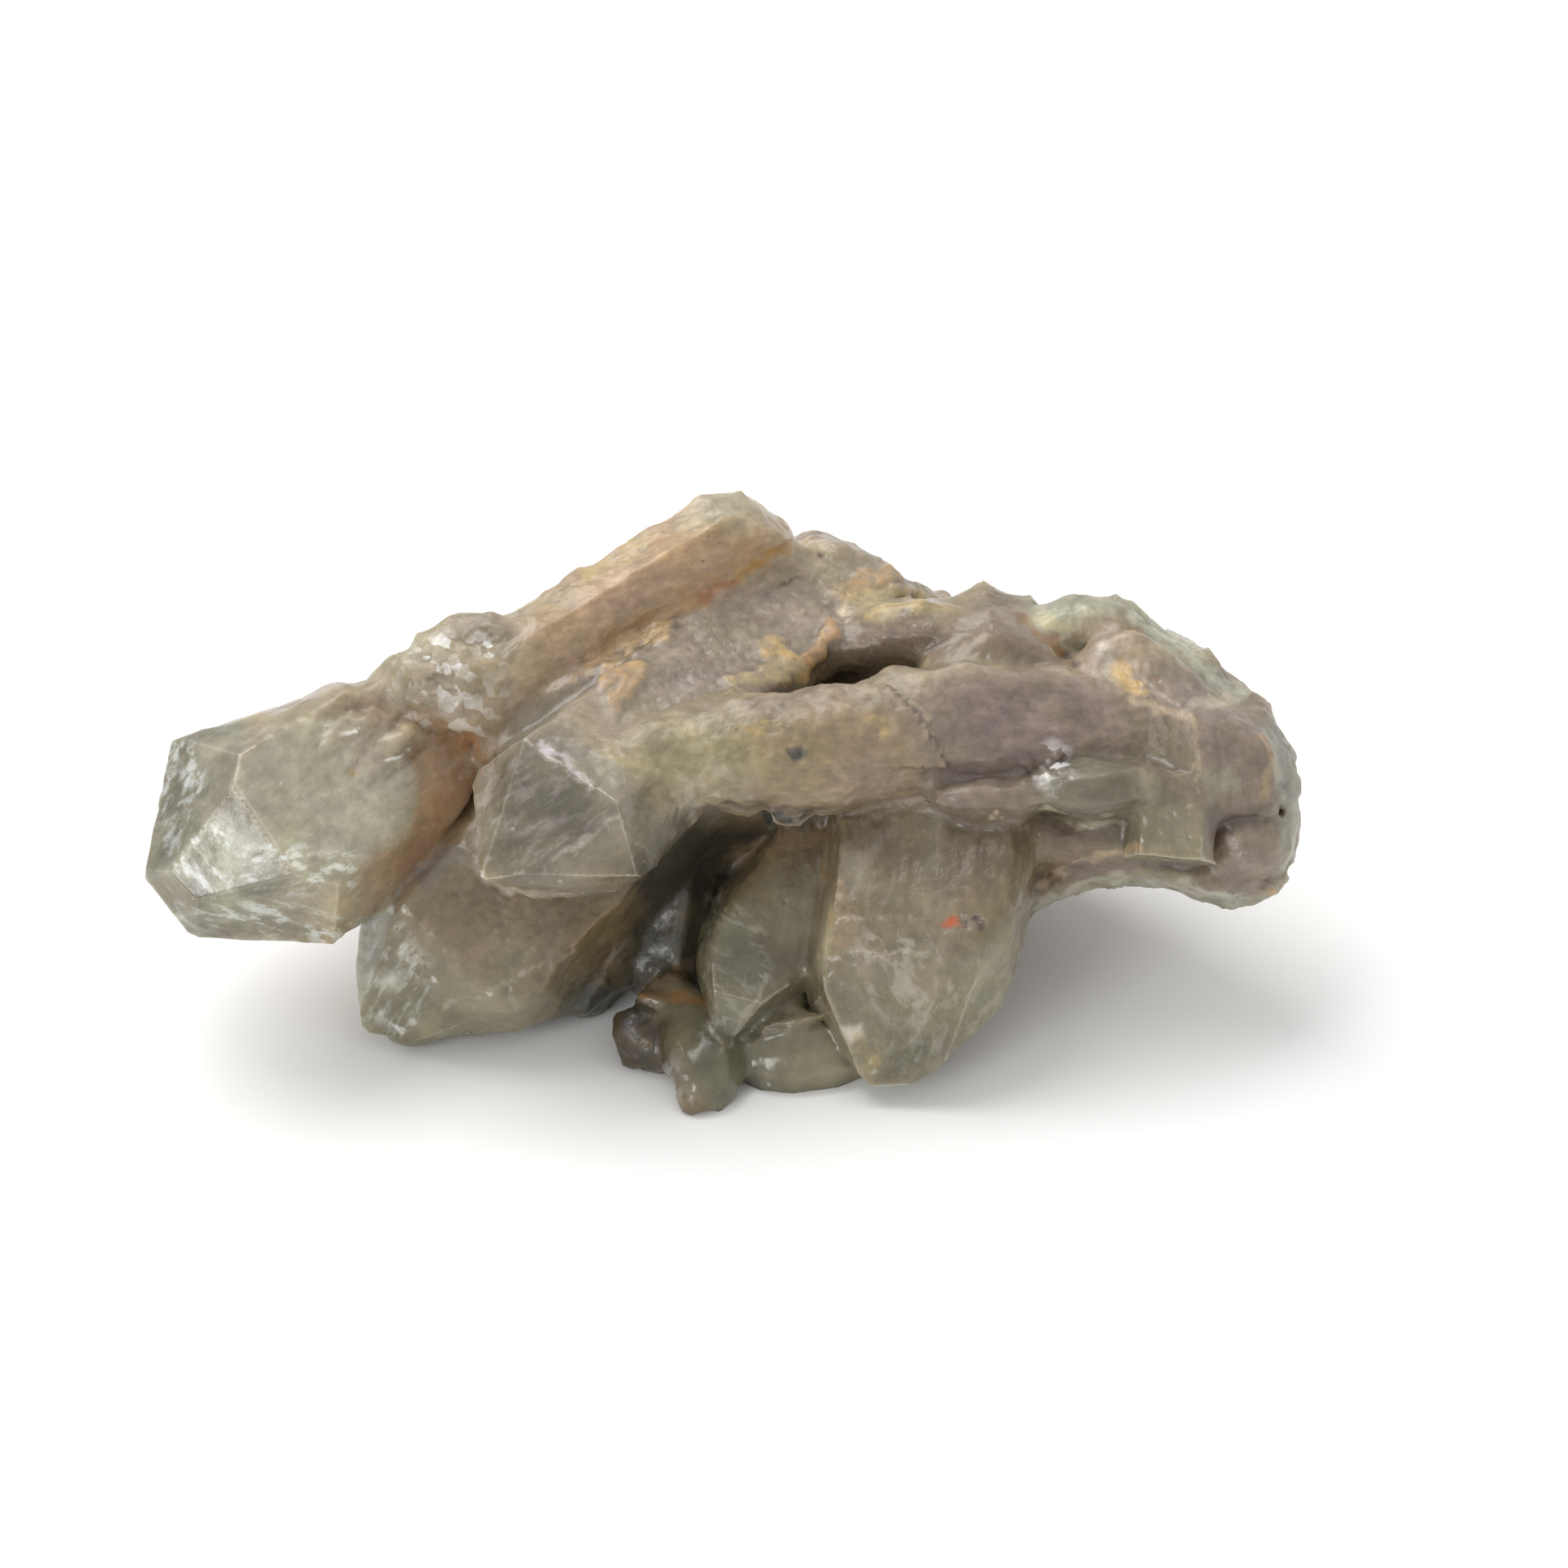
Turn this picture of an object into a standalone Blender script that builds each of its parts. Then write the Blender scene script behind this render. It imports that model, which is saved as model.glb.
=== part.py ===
"""A cluster of quartz crystals that grew together, at its real size, resting on a table.

The crystals spread over a front that leans back from the table. Inside this file a place is
(across, up, out) in millimetres: across to the right, up along the leaning front, and out of it,
towards a person who looks down at the cluster. FRONT turns such a place into the part's own
axes, in metres, with +Z up. Every crystal is a closed body, and one union joins them all.
"""

import math
import random

import bmesh
import bpy
from mathutils import Matrix, Vector, noise

NAME = "quartz_cluster"
MM = 0.001

# The front leans back so that a person who looks down by this angle sees it square on.
LOOK_DOWN = math.radians(35.0)
# The table, in millimetres below the middle of the front, measured straight down.
TABLE = -28.0
TABLE_SIZE = 400.0

# Quartz: a six-sided prism closed by six faces, each turned this far from the long axis.
SIXTH = math.radians(60.0)
TIP_FACE_ANGLE = math.radians(51.8)

# Shape of the rough bodies, in millimetres.
RING_STEP = 3.0
RING_POINTS = 12
BUMP_SIZE = 6.0
# The block in the middle of the root that the union starts from: centre, radii, heading and seed.
SEED_CRYSTAL = ((10.0, 4.0, -25.0), (3.0, 3.0, 3.0), 0.0, 1)

OUT = Vector((0.0, 0.0, 1.0))
FRONT = Matrix((
    (1.0, 0.0, 0.0, 0.0),
    (0.0, math.sin(LOOK_DOWN), -math.cos(LOOK_DOWN), 0.0),
    (0.0, math.cos(LOOK_DOWN), math.sin(LOOK_DOWN), 0.0),
    (0.0, 0.0, 0.0, 1.0),
))


def trim(body, point, normal):
    """Cut away what lies beyond a plane, and close the convex body with one flat face."""
    parts = body.verts[:] + body.edges[:] + body.faces[:]
    cut = bmesh.ops.bisect_plane(
        body, geom=parts, dist=1e-5, plane_co=point, plane_no=normal, clear_outer=True
    )
    rim = [part for part in cut["geom_cut"] if isinstance(part, bmesh.types.BMEdge)]
    if rim:
        bmesh.ops.edgeloop_fill(body, edges=rim)


def heading_vector(heading, rise):
    """The direction at an angle in the leaning front, lifted out of it by a rise, in degrees."""
    heading = math.radians(heading)
    rise = math.radians(rise)
    return Vector((
        math.cos(rise) * math.cos(heading),
        math.cos(rise) * math.sin(heading),
        math.sin(rise),
    ))


def side_face(start, end, out, tilt):
    """A broken side, as a point and a normal: it runs from start to end and keeps its left.

    Start and end are (across, up), met at the height out. Tilt turns the face to the front.
    """
    run = Vector((end[0] - start[0], end[1] - start[1], 0.0)).normalized()
    right = Vector((run.y, -run.x, 0.0))
    tilt = math.radians(tilt)
    return Vector((start[0], start[1], out)), right * math.cos(tilt) + OUT * math.sin(tilt)


def quartz_point(tip, axis, roll, length, sides, peaks, breaks=()):
    """One crystal with its natural faces, pointing along an axis.

    Sides are the distances of the six prism faces from the line through the tip. Peaks say how
    far behind the tip each closing face would cross that line. Face 0 looks out of the front
    and the others follow round the axis. Breaks are further flat faces.
    """
    first = (OUT - axis * axis.dot(OUT)).normalized()
    second = axis.cross(first)
    tip = Vector(tip)
    body = bmesh.new()
    bmesh.ops.create_cube(body, size=4.0 * length, matrix=Matrix.Translation(tip))
    trim(body, tip - axis * length, -axis)
    for index in range(6):
        turn = math.radians(roll) + index * SIXTH
        outward = first * math.cos(turn) + second * math.sin(turn)
        trim(body, tip + outward * sides[index], outward)
        closing = axis * math.cos(TIP_FACE_ANGLE) + outward * math.sin(TIP_FACE_ANGLE)
        trim(body, tip - axis * peaks[index], closing)
    for point, normal in breaks:
        trim(body, point, normal)
    return body


def smooth_line(stations, amount):
    """The station between two others on a smooth curve through all of them."""
    last = len(stations) - 1
    index = min(int(amount), last - 1)
    part = amount - index
    before, start, end, after = (
        stations[min(max(index + step, 0), last)] for step in (-1, 0, 1, 2)
    )
    return [
        0.5 * (2 * b + (c - a) * part + (2 * a - 5 * b + 4 * c - d) * part ** 2
               + (3 * b - a - 3 * c + d) * part ** 3)
        for a, b, c, d in zip(before, start, end, after)
    ]


def roughen(body, along, height, seed, size, stretch):
    """Raise lumps and long ridges that run with the growth direction."""
    body.normal_update()
    shift = Vector((seed * 7.3, seed * 3.1, seed * 1.7))
    for vertex in body.verts:
        run = along * vertex.co.dot(along)
        spot = (vertex.co - run + run / stretch) / size + shift
        lift = noise.noise(spot) + 0.5 * noise.noise(spot * 2.3)
        vertex.co += vertex.normal * lift * height


def grown_body(stations, lumps, seed, hexagon=0.5, turn=0.0, ring=RING_POINTS, step=RING_STEP,
               size=BUMP_SIZE, stretch=2.5):
    """A wavy crystal body along a line of (across, up, out, half width, half depth)."""
    reach = sum(
        (Vector(b[:3]) - Vector(a[:3])).length for a, b in zip(stations, stations[1:])
    )
    count = max(3, round(reach / step))
    body = bmesh.new()
    loops = []
    for index in range(count + 1):
        amount = index / count * (len(stations) - 1)
        across, up, out, wide, deep = smooth_line(stations, amount)
        ahead = Vector(smooth_line(stations, min(amount + 0.05, len(stations) - 1.0))[:3])
        behind = Vector(smooth_line(stations, max(amount - 0.05, 0.0))[:3])
        run = (ahead - behind).normalized()
        face_out = (OUT - run * run.dot(OUT)).normalized()
        sideways = run.cross(face_out)
        loop = []
        for corner in range(ring):
            angle = 2 * math.pi * corner / ring
            sector = (angle + math.radians(turn)) % SIXTH - SIXTH / 2
            flat = math.cos(SIXTH / 2) / math.cos(sector)
            radius = 1 + hexagon * (flat - 1)
            loop.append(body.verts.new(
                Vector((across, up, out))
                + sideways * math.cos(angle) * wide * radius
                + face_out * math.sin(angle) * deep * radius
            ))
        edges = [body.edges.new((loop[k - 1], loop[k])) for k in range(ring)]
        if loops:
            bmesh.ops.bridge_loops(body, edges=loops[-1] + edges)
        loops.append(edges)
    bmesh.ops.edgeloop_fill(body, edges=loops[0])
    bmesh.ops.edgeloop_fill(body, edges=loops[-1])
    bmesh.ops.recalc_face_normals(body, faces=body.faces)
    along = (Vector(stations[-1][:3]) - Vector(stations[0][:3])).normalized()
    roughen(body, along, lumps, seed, size, stretch)
    bmesh.ops.triangulate(body, faces=body.faces)
    return body


def broken_block(centre, radii, heading, seed, corners=20):
    """A block of broken crystal: the hull of points scattered over a squarish ellipsoid."""
    draw = random.Random(seed)
    turn = Matrix.Rotation(math.radians(heading), 3, "Z")
    body = bmesh.new()
    for _ in range(corners):
        spot = Vector([draw.gauss(0, 1) for _ in range(3)]).normalized()
        square = spot / max(abs(value) for value in spot)
        spot = spot.lerp(square, 0.35) * (1 - 0.15 * draw.random())
        scaled = Vector([value * radius for value, radius in zip(spot, radii)])
        body.verts.new(Vector(centre) + turn @ scaled)
    hull = bmesh.ops.convex_hull(body, input=body.verts)
    inside = {part for part in hull["geom_interior"] + hull["geom_unused"] if part.is_valid}
    loose = [part for part in inside if isinstance(part, bmesh.types.BMVert)]
    bmesh.ops.delete(body, geom=loose, context="VERTS")
    bmesh.ops.recalc_face_normals(body, faces=body.faces)
    return body


def left_point():
    """The large crystal that points down to the left, glassy at its tip."""
    return [
        quartz_point(
            (-59.9, -11.7, 5.8), heading_vector(213, 30), roll=1, length=52,
            sides=(9.8, 11.6, 12, 12, 17, 12.5), peaks=(0, 0, -0.4, 1.6, -2, 0),
            breaks=(
                side_face((-37.6, -13.2), (-25.0, 3.8), -8, -20),
                side_face((-43.2, 10.4), (-55.7, 6.4), -6, 0),
                side_face((-57.0, -7.2), (-53.4, -11.1), 6.5, 30),
                side_face((-59.2, -10.2), (-55.8, -13.2), 0, -10),
                side_face((-55.8, -13.1), (-41.2, -14.9), 0, -20),
                side_face((-41.2, -14.9), (-37.4, -12.9), -2, -15),
            ),
        ),
        broken_block((-36.6, 7.8, -0.4), (2.2, 1.1, 1.5), 35, 3, 14),
        broken_block((-34.0, 6.0, -1.0), (3.4, 1.2, 1.7), 32, 4, 14),
        broken_block((-38.8, 10.4, -7.0), (5.0, 2.0, 3.6), 8, 5, 18),
    ]


def upper_left_crystal():
    """The long crystal with a rough, broken lower end, running up to the highest peak."""
    return [
        quartz_point(
            (-30.0, 8.8, -3.0), heading_vector(211.6, 21), roll=-10, length=50,
            sides=(4.6, 4.4, 4.5, 4.6, 3.9, 4.2), peaks=(0.3, 0, 0.8, 1.2, 0.7, -0.4),
            breaks=(
                side_face((-20.2, 9.6), (8.1, 27.1), 0, 0),
                side_face((8.6, 26.6), (-0.6, 33.2), -18, 12),
            ),
        ),
        grown_body([
            (-34.4, 13.0, -4.0, 1.8, 2.4), (-32.6, 12.8, -4.0, 4.2, 4.0), (-29.4, 12.2, -4.0, 5.4, 4.8),
            (-25.6, 11.8, -4.5, 6.2, 5.2), (-21.0, 13.4, -6.2, 5.9, 4.8), (-16.4, 16.0, -8.6, 5.2, 4.2),
            (-12.0, 18.6, -11.0, 3.0, 2.6),
        ], lumps=0.9, seed=6, hexagon=0.7, turn=20, ring=18, step=1.8, size=3.0, stretch=1.0),
        broken_block((-25.4, 7.6, -4.0), (3.0, 2.0, 2.6), -20, 9, 22),
        broken_block((-32.4, 12.4, -3.6), (3.0, 4.6, 3.4), 20, 8, 24),
        broken_block((-30.6, 17.0, -5.0), (3.4, 1.8, 3.0), 20, 10, 20),
        broken_block((-25.4, 17.4, -5.4), (6.0, 2.4, 4.2), 8, 19, 24),
        broken_block((-20.5, 17.6, -8.0), (4.6, 1.6, 3.6), 14, 14, 20),
        broken_block((-12.0, 21.6, -10.0), (4.0, 2.0, 3.6), 26, 24, 20),
        broken_block((-0.2, 29.2, -18.2), (4.2, 3.9, 4.6), 30, 11, 28),
        grown_body([
            (-19.4, 8.6, -12.0, 3.0, 6.6), (-12.0, 13.2, -14.0, 3.4, 8.2), (-6.0, 17.4, -17.0, 3.4, 8.4),
            (0.0, 21.6, -20.0, 3.4, 8.0), (6.0, 25.6, -22.8, 2.6, 6.6),
        ], lumps=0.4, seed=29, hexagon=0.3),
        grown_body([
            (-20.0, 14.0, -8.2, 4.6, 5.4), (-14.0, 17.6, -11.0, 4.9, 5.8), (-8.0, 21.2, -13.6, 5.0, 6.0),
            (-2.0, 25.0, -16.6, 5.2, 6.2), (3.0, 27.8, -19.0, 4.0, 5.2),
        ], lumps=0.7, seed=30, hexagon=0.4, turn=10, ring=16, step=2.2, size=4.0),
        broken_block((-11.7, 9.2, -14.2), (6.2, 5.0, 6.2), 30, 49, 26),
        grown_body([
            (-25.2, 3.4, -5.4, 1.6, 2.4), (-22.4, 6.6, -5.2, 2.6, 3.8), (-19.0, 9.0, -5.4, 2.6, 3.8),
            (-15.4, 11.4, -6.8, 2.6, 4.0), (-12.0, 13.2, -8.8, 2.4, 4.2), (-8.5, 15.0, -10.6, 1.8, 3.4),
        ], lumps=0.4, seed=40, hexagon=0.3),
    ]


def middle_point():
    """The long diagonal crystal with a clear, sharp tip that looks out of the front."""
    return [
        quartz_point(
            (-25.1, -8.9, 11.3), heading_vector(217, 40), roll=28, length=70,
            sides=(9.4, 9.5, 8, 8, 9, 10.6), peaks=(0, 0, 0.5, 1.5, 1.0, -1.6),
            breaks=(
                side_face((22.3, 20.8), (17.5, 24.6), -20, -10),
                side_face((17.5, 24.4), (8.0, 27.7), -20, 5),
                side_face((-26.0, -7.8), (-23.2, -10.4), 8, -10),
                side_face((-23.2, -10.4), (-13.5, -9.7), 5, -25),
                side_face((-13.5, -9.7), (-3.6, -1.8), 0, -15),
            ),
        ),
        broken_block((12.6, 25.4, -23), (5.2, 1.8, 4.0), -26, 17, 20),
        broken_block((17.4, 22.2, -21), (3.0, 1.8, 3.6), -42, 18, 20),
        broken_block((12.6, 19.6, -13.8), (1.1, 1.1, 1.1), 0, 19, 14),
    ]


def front_crystal():
    """The long, wavy crystal that lies across the middle, in front of the others."""
    return [
        grown_body([
            (-11.2, 4.4, 5.5, 2.0, 1.8), (-8.4, 4.9, 4.2, 3.8, 3.2), (-3.6, 4.3, 2.4, 5.6, 5.0),
            (3.1, 4.9, 1, 6.8, 6.0), (8.9, 5.1, 0.4, 7.4, 6.4), (14.8, 6.3, -1, 7.6, 6.6),
            (21.4, 7.3, -2, 7.8, 6.8), (29.8, 7.1, -4, 7.0, 6.4), (38.1, 6.4, -6, 5.6, 5.6),
            (43.1, 5.0, -7, 3.4, 4.0),
        ], lumps=0.7, seed=5, hexagon=0.95, turn=20),
        broken_block((6.4, -1.9, 0.6), (3.0, 1.6, 2.8), -8, 65, 18),
        broken_block((1.6, -0.9, 0.0), (4.0, 1.4, 2.8), -2, 67, 20),
    ]


def rear_hump():
    """A short broken crystal behind the front crystal."""
    return [
        grown_body([
            (9.5, 14.8, -14, 1.8, 2.6), (13.5, 16.0, -13.5, 3.4, 4.0), (19.5, 17.2, -13, 4.2, 5.0),
            (26.0, 16.2, -13.0, 4.6, 5.0), (31.5, 15.6, -13.4, 4.2, 4.8), (35.5, 14.2, -14, 2.6, 3.0),
        ], lumps=0.4, seed=7, hexagon=1.0, turn=30),
        quartz_point(
            (27.2, 26.0, -10.6), heading_vector(92, -10), roll=10, length=15,
            sides=(2.8, 6.4, 7.4, 6.0, 7.4, 6.2), peaks=(-12, -12, -12, -12, -12, -12),
            breaks=(
                side_face((27.3, 20.5), (18.6, 15.6), -11, 30),
                side_face((33.8, 17.3), (26.9, 20.6), -11, 26),
            ),
        ),
        broken_block((19.0, 19.2, -17), (4.6, 2.0, 4.0), 14, 13, 20),
        broken_block((22.0, 14.0, -20), (12.0, 6.0, 6.0), -6, 37, 24),
        broken_block((30.0, 11.4, -9.2), (3.6, 2.6, 3.4), 0, 39, 20),
    ]


def right_group():
    """Upright and rounded crystals, stacked at the right end, with a thin broken rim."""
    open_end = (-12, -12, -12, -12, -12, -12)
    upright = [
        quartz_point(
            (48.6, -1.2, -8.0), heading_vector(268, 3), roll=30, length=26,
            sides=(7.2, 8.2, 8, 8, 8.6, 7.0), peaks=open_end,
            breaks=(
                side_face((40.0, -0.8), (58.0, -1.4), 0, 8),
                side_face((57.8, 5.4), (45.0, 12.4), -5, 24),
            ),
        ),
        quartz_point(
            (41.0, 4.0, -7.4), heading_vector(262, 5), roll=6, length=24,
            sides=(4.6, 4.6, 4.6, 4.6, 4.4, 4.4), peaks=open_end,
            breaks=(
                side_face((36.0, 3.4), (46.0, 3.1), 0, 0),
                side_face((46.4, 15.4), (35.6, 18.4), -11, 34),
            ),
        ),
        quartz_point(
            (49.0, 4.0, -8.2), heading_vector(257, 5), roll=24, length=24,
            sides=(4.2, 4.4, 4.6, 4.6, 4.0, 4.4), peaks=open_end,
            breaks=(
                side_face((44.0, 2.1), (54.0, 2.5), 0, 0),
                side_face((55.2, 8.0), (45.2, 15.6), -10, 38),
            ),
        ),
        quartz_point(
            (45.8, -7.0, -2.4), heading_vector(268, 4), roll=2, length=9.5,
            sides=(3.2, 4.3, 4, 4, 4, 4.3), peaks=open_end,
            breaks=(
                side_face((42.2, -6.0), (49.4, -6.6), -2, 8),
            ),
        ),
    ]
    rounded = [
        grown_body([
            (31.0, 16.0, -13, 2.6, 3.6), (35.0, 18.0, -14, 3.2, 4.2), (40.0, 17.6, -14, 3.6, 4.4),
            (44.6, 15.0, -13.5, 2.8, 3.8), (47.0, 13.4, -13, 1.4, 2.4),
        ], lumps=0.5, seed=31, hexagon=0.8),
        grown_body([
            (29.0, -3.0, -8, 3.0, 4.4), (34.0, -3.8, -7.2, 4.0, 5.0), (40.0, -3.2, -7.2, 4.2, 5.2),
            (47.0, -2.4, -8, 3.6, 4.8),
        ], lumps=0.4, seed=35, hexagon=0.6),
        grown_body([
            (31.6, 1.0, 0, 1.6, 2.4), (34.0, 1.0, 0, 3.0, 3.8), (38.0, 1.0, -0.5, 3.4, 4.4),
            (42.0, 1.6, -1.5, 3.0, 4.0), (45.0, 2.2, -3, 1.8, 2.8),
        ], lumps=0.3, seed=36, hexagon=0.8),
        grown_body([
            (20.6, 0.5, 1.6, 1.3, 2.0), (23.6, 0.1, 1.6, 2.2, 3.2), (29.0, 0.1, 0.6, 2.4, 3.6),
            (33.0, 1.0, -1, 1.8, 3.0),
        ], lumps=0.3, seed=38, hexagon=0.7),
    ]
    blocks = [
        ((43.0, 9.5, -13.5), (10.5, 8.5, 9.5), -38, 30), ((49.5, -0.5, -13), (8.6, 8.4, 8.5), 4, 30),
        ((53.6, -4.9, -8.0), (5.6, 4.6, 5.4), 30, 26), ((36.0, 9.0, -9), (6.0, 6.0, 6.4), 10, 26),
        ((41.0, 18.4, -15), (3.4, 2.2, 2.6), -20, 18), ((46.4, 15.4, -14), (2.8, 1.8, 2.4), -40, 18),
        ((51.0, 11.6, -13), (2.8, 2.0, 2.8), -42, 18), ((55.6, 7.2, -12), (2.6, 2.0, 2.8), -50, 18),
        ((57.5, 3.0, -11), (2.0, 4.6, 4.4), 4, 22), ((57.9, -3.4, -10), (1.9, 4.4, 4.4), -2, 22),
        ((56.6, -7.8, -10.4), (2.4, 3.0, 3.6), 10, 22), ((51.0, -2.6, -6.4), (1.9, 2.4, 3.6), 0, 20),
        ((58.0, -0.4, -9.6), (1.6, 2.4, 3.8), 0, 20), ((32.2, -8.2, -10.0), (2.4, 2.6, 4.0), 0, 20),
    ]
    return upright + rounded + [
        broken_block(centre, radii, heading, seed, corners)
        for seed, (centre, radii, heading, corners) in enumerate(blocks, 51)
    ]


def right_wing():
    """The thin arched shelf under the right group."""
    return [
        grown_body([
            (30.0, -10.4, -12, 1.6, 3.6), (33.6, -9.0, -11.5, 2.0, 4.6), (38.0, -7.2, -11, 2.0, 5.2),
            (43.0, -6.8, -10.5, 2.0, 5.4), (48.5, -8.2, -10, 2.3, 5.2), (53.0, -8.9, -10, 1.9, 4.6),
            (57.0, -9.4, -10, 1.1, 3.0),
        ], lumps=0.3, seed=9, hexagon=0.3),
    ]


def lower_right_point():
    """The wide glassy crystal that points down and rests on the table."""
    return [
        quartz_point(
            (17.0, -34.5, -0.8), heading_vector(266, 21), roll=6, length=42,
            sides=(12.0, 16, 11, 9, 12, 16), peaks=(4.4, -3, 3, 3, 3, 0),
            breaks=[
                side_face((10.4, -10.4), (9.2, -16.8), -1.5, 8),
                side_face((9.2, -16.9), (10.4, -21.6), -1.5, 14),
                side_face((10.4, -21.6), (14.2, -29.5), -2.6, 16),
                side_face((13.8, -29.7), (19.3, -29.1), -2.2, -30),
                side_face((19.0, -29.3), (23.0, -26.9), -2.0, -20),
                side_face((22.4, -27.3), (27.6, -22.2), -1.6, -10),
                side_face((28.9, -21.4), (31.2, -10.0), -5, 8),
            ],
        ),
    ]


def lower_middle_points():
    """Two narrower crystals left of the lower right point."""
    return [
        quartz_point(
            (-0.6, -26.6, -5.0), heading_vector(258, 16), roll=-8, length=36,
            sides=(4.4, 10.0, 6, 5, 9.0, 14), peaks=(0, 0, 2, 3, 2, 0),
            breaks=[
                side_face((4.2, -4.6), (-1.4, -11.8), -10, 8),
                side_face((-1.4, -11.8), (-2.3, -14.4), -8, 10),
                side_face((-2.3, -14.2), (-1.8, -23.6), -6, 12),
                side_face((-1.9, -23.4), (-0.4, -26.2), -4, 10),
                side_face((-0.6, -26.2), (6.2, -22.8), -4, -20),
            ],
        ),
        grown_body([
            (1.2, -26.6, -8.0, 2.2, 3.0), (4.4, -26.6, -8.4, 4.6, 5.0), (8.6, -26.4, -8.6, 5.0, 5.4),
            (13.0, -25.6, -9.5, 4.2, 5.0), (16.0, -25.0, -10.5, 2.4, 3.4),
        ], lumps=0.4, seed=41, hexagon=0.6),
        broken_block((6.6, -23.4, -6.2), (4.4, 1.8, 3.2), 16, 42, 20),
        broken_block((4.4, -22.0, -10.0), (4.8, 3.4, 6.2), 26, 27, 22),
        broken_block((1.0, -25.6, -8.6), (4.6, 4.4, 5.4), 6, 28, 22),
    ]


def lower_left_point():
    """The clear to smoky crystal behind the left and middle points."""
    return [
        quartz_point(
            (-38.6, -26.6, -9.5), heading_vector(226, 4), roll=-4, length=42,
            sides=(8.0, 11, 10, 9, 12, 11), peaks=(4, -2, 1, 2, 3, 1),
            breaks=[
                side_face((-33.5, -10.1), (-38.0, -21.8), -1.5, 35),
                side_face((-37.5, -13.0), (-38.8, -23.0), -6, 0),
                side_face((-38.8, -22.6), (-36.9, -24.5), -8, 0),
            ],
        ),
        broken_block((-30.8, -23.2, -11.6), (5.4, 2.8, 4.0), 6, 46, 24),
        broken_block((-24.0, -22.4, -11.2), (4.0, 2.4, 4.0), 16, 47, 22),
        broken_block((-19.8, -18.6, -7), (3.6, 3.2, 4.0), 10, 43, 20),
        broken_block((-13.6, -17.4, -15.5), (8.4, 6.0, 6.6), -4, 44, 30),
    ]


def recess_crystals():
    """Dark crystals deep under the front crystal, and the rough claw and knob below them."""
    return [
        quartz_point(
            (-7.6, -24.0, -16.0), heading_vector(262, 4), roll=10, length=30,
            sides=(4.6, 4.6, 4.6, 5, 5, 4.6), peaks=(0, 1, 1, 1, 1, 0),
        ),
        grown_body([
            (-6.4, -19.0, -12, 2.4, 3.0), (-4.4, -22.4, -9.5, 3.6, 3.4),
            (-2.4, -26.0, -6, 4.4, 3.6), (-2.0, -29.0, -3.8, 3.9, 3.2),
            (-3.2, -31.2, -2.8, 2.4, 2.2), (-3.8, -32.6, -2.2, 0.9, 1.0),
        ], lumps=0.4, seed=15, hexagon=0.4, step=2.4),
        broken_block((-8.0, -25.0, -9), (3.7, 4.2, 4.0), 15, 45, 26),
        broken_block((-6.8, -21.4, -9.4), (3.4, 1.9, 3.0), -10, 48, 20),
    ]


def root():
    """The hidden mass that all the crystals grow out of, with the broken base behind."""
    return [
        grown_body([
            (-26, 4, -22, 8, 7), (-14, 4, -24, 11, 10), (2, 6, -26, 13, 11), (18, 5, -26, 14, 11),
            (34, 4, -22, 11, 10), (46, 2, -17, 7, 8),
        ], lumps=1.4, seed=21, hexagon=0.4, ring=14),
        grown_body([
            (2, -22, -30, 12, 6), (6, -12, -32, 15, 9), (12, -2, -32, 16, 10), (18, 8, -30, 12, 8),
        ], lumps=1.4, seed=23, hexagon=0.4, ring=14),
    ]


def from_table(place):
    """Turn a place or direction given as (right, back, up) from the table into the leaning front."""
    return FRONT.to_3x3().transposed() @ Vector(place)


def back_points():
    """Crystals on the side that faces away, most of them broken short."""
    return [
        quartz_point(
            from_table((-34, 36, -4)), from_table((-0.66, 0.72, 0.2)).normalized(), roll=8, length=44,
            sides=(7.5, 8.5, 7.5, 8, 8, 7), peaks=(0, 1, 2.5, 1, 0, 1.5),
        ),
        quartz_point(
            from_table((-6, 44, 2)), from_table((-0.2, 0.93, 0.3)).normalized(), roll=22, length=40,
            sides=(8.5, 9, 8, 9.5, 8, 9), peaks=(1, 0, 1, 3, 1, 0),
        ),
        quartz_point(
            from_table((24, 44, -4)), from_table((0.24, 0.96, 0.12)).normalized(), roll=4, length=40,
            sides=(9.5, 8, 9, 9, 8.5, 9), peaks=(0, 2, 0, 1, 2, 0),
        ),
        quartz_point(
            from_table((45, 31, 2)), from_table((0.74, 0.64, 0.2)).normalized(), roll=15, length=40,
            sides=(7, 7.5, 7, 7.5, 7, 7.5), peaks=(1, 0, 1, 0, 2, 1),
        ),
        quartz_point(
            from_table((6, 42, -19)), from_table((-0.1, 0.98, -0.14)).normalized(), roll=12, length=34,
            sides=(7.5, 8, 9, 8, 7.5, 8), peaks=(0, 1, 0, 2, 0, 1),
        ),
        broken_block(from_table((-18, 30, -14)), (8.0, 7.0, 7.0), 10, 71, 26),
        broken_block(from_table((28, 30, -16)), (9.0, 7.0, 7.0), -15, 72, 26),
    ]


GROUPS = (
    left_point, upper_left_crystal, middle_point, front_crystal, rear_hump, right_group,
    right_wing, lower_right_point, lower_middle_points, lower_left_point, recess_crystals,
    root, back_points,
)


def quartz_material():
    """Pale smoky quartz with a trace of lilac."""
    material = bpy.data.materials.new("pale_quartz")
    material.use_nodes = True
    shader = material.node_tree.nodes["Principled BSDF"]
    shader.inputs["Base Color"].default_value = (0.36, 0.29, 0.22, 1.0)
    shader.inputs["Roughness"].default_value = 0.25
    shader.inputs["Metallic"].default_value = 0.0
    return material


def add_object(body, name, collection):
    """Turn a body in the leaning frame into an object in the part's own axes."""
    body.transform(Matrix.Scale(MM, 4) @ FRONT)
    mesh = bpy.data.meshes.new(name)
    body.to_mesh(mesh)
    body.free()
    item = bpy.data.objects.new(name, mesh)
    collection.objects.link(item)
    return item


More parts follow.
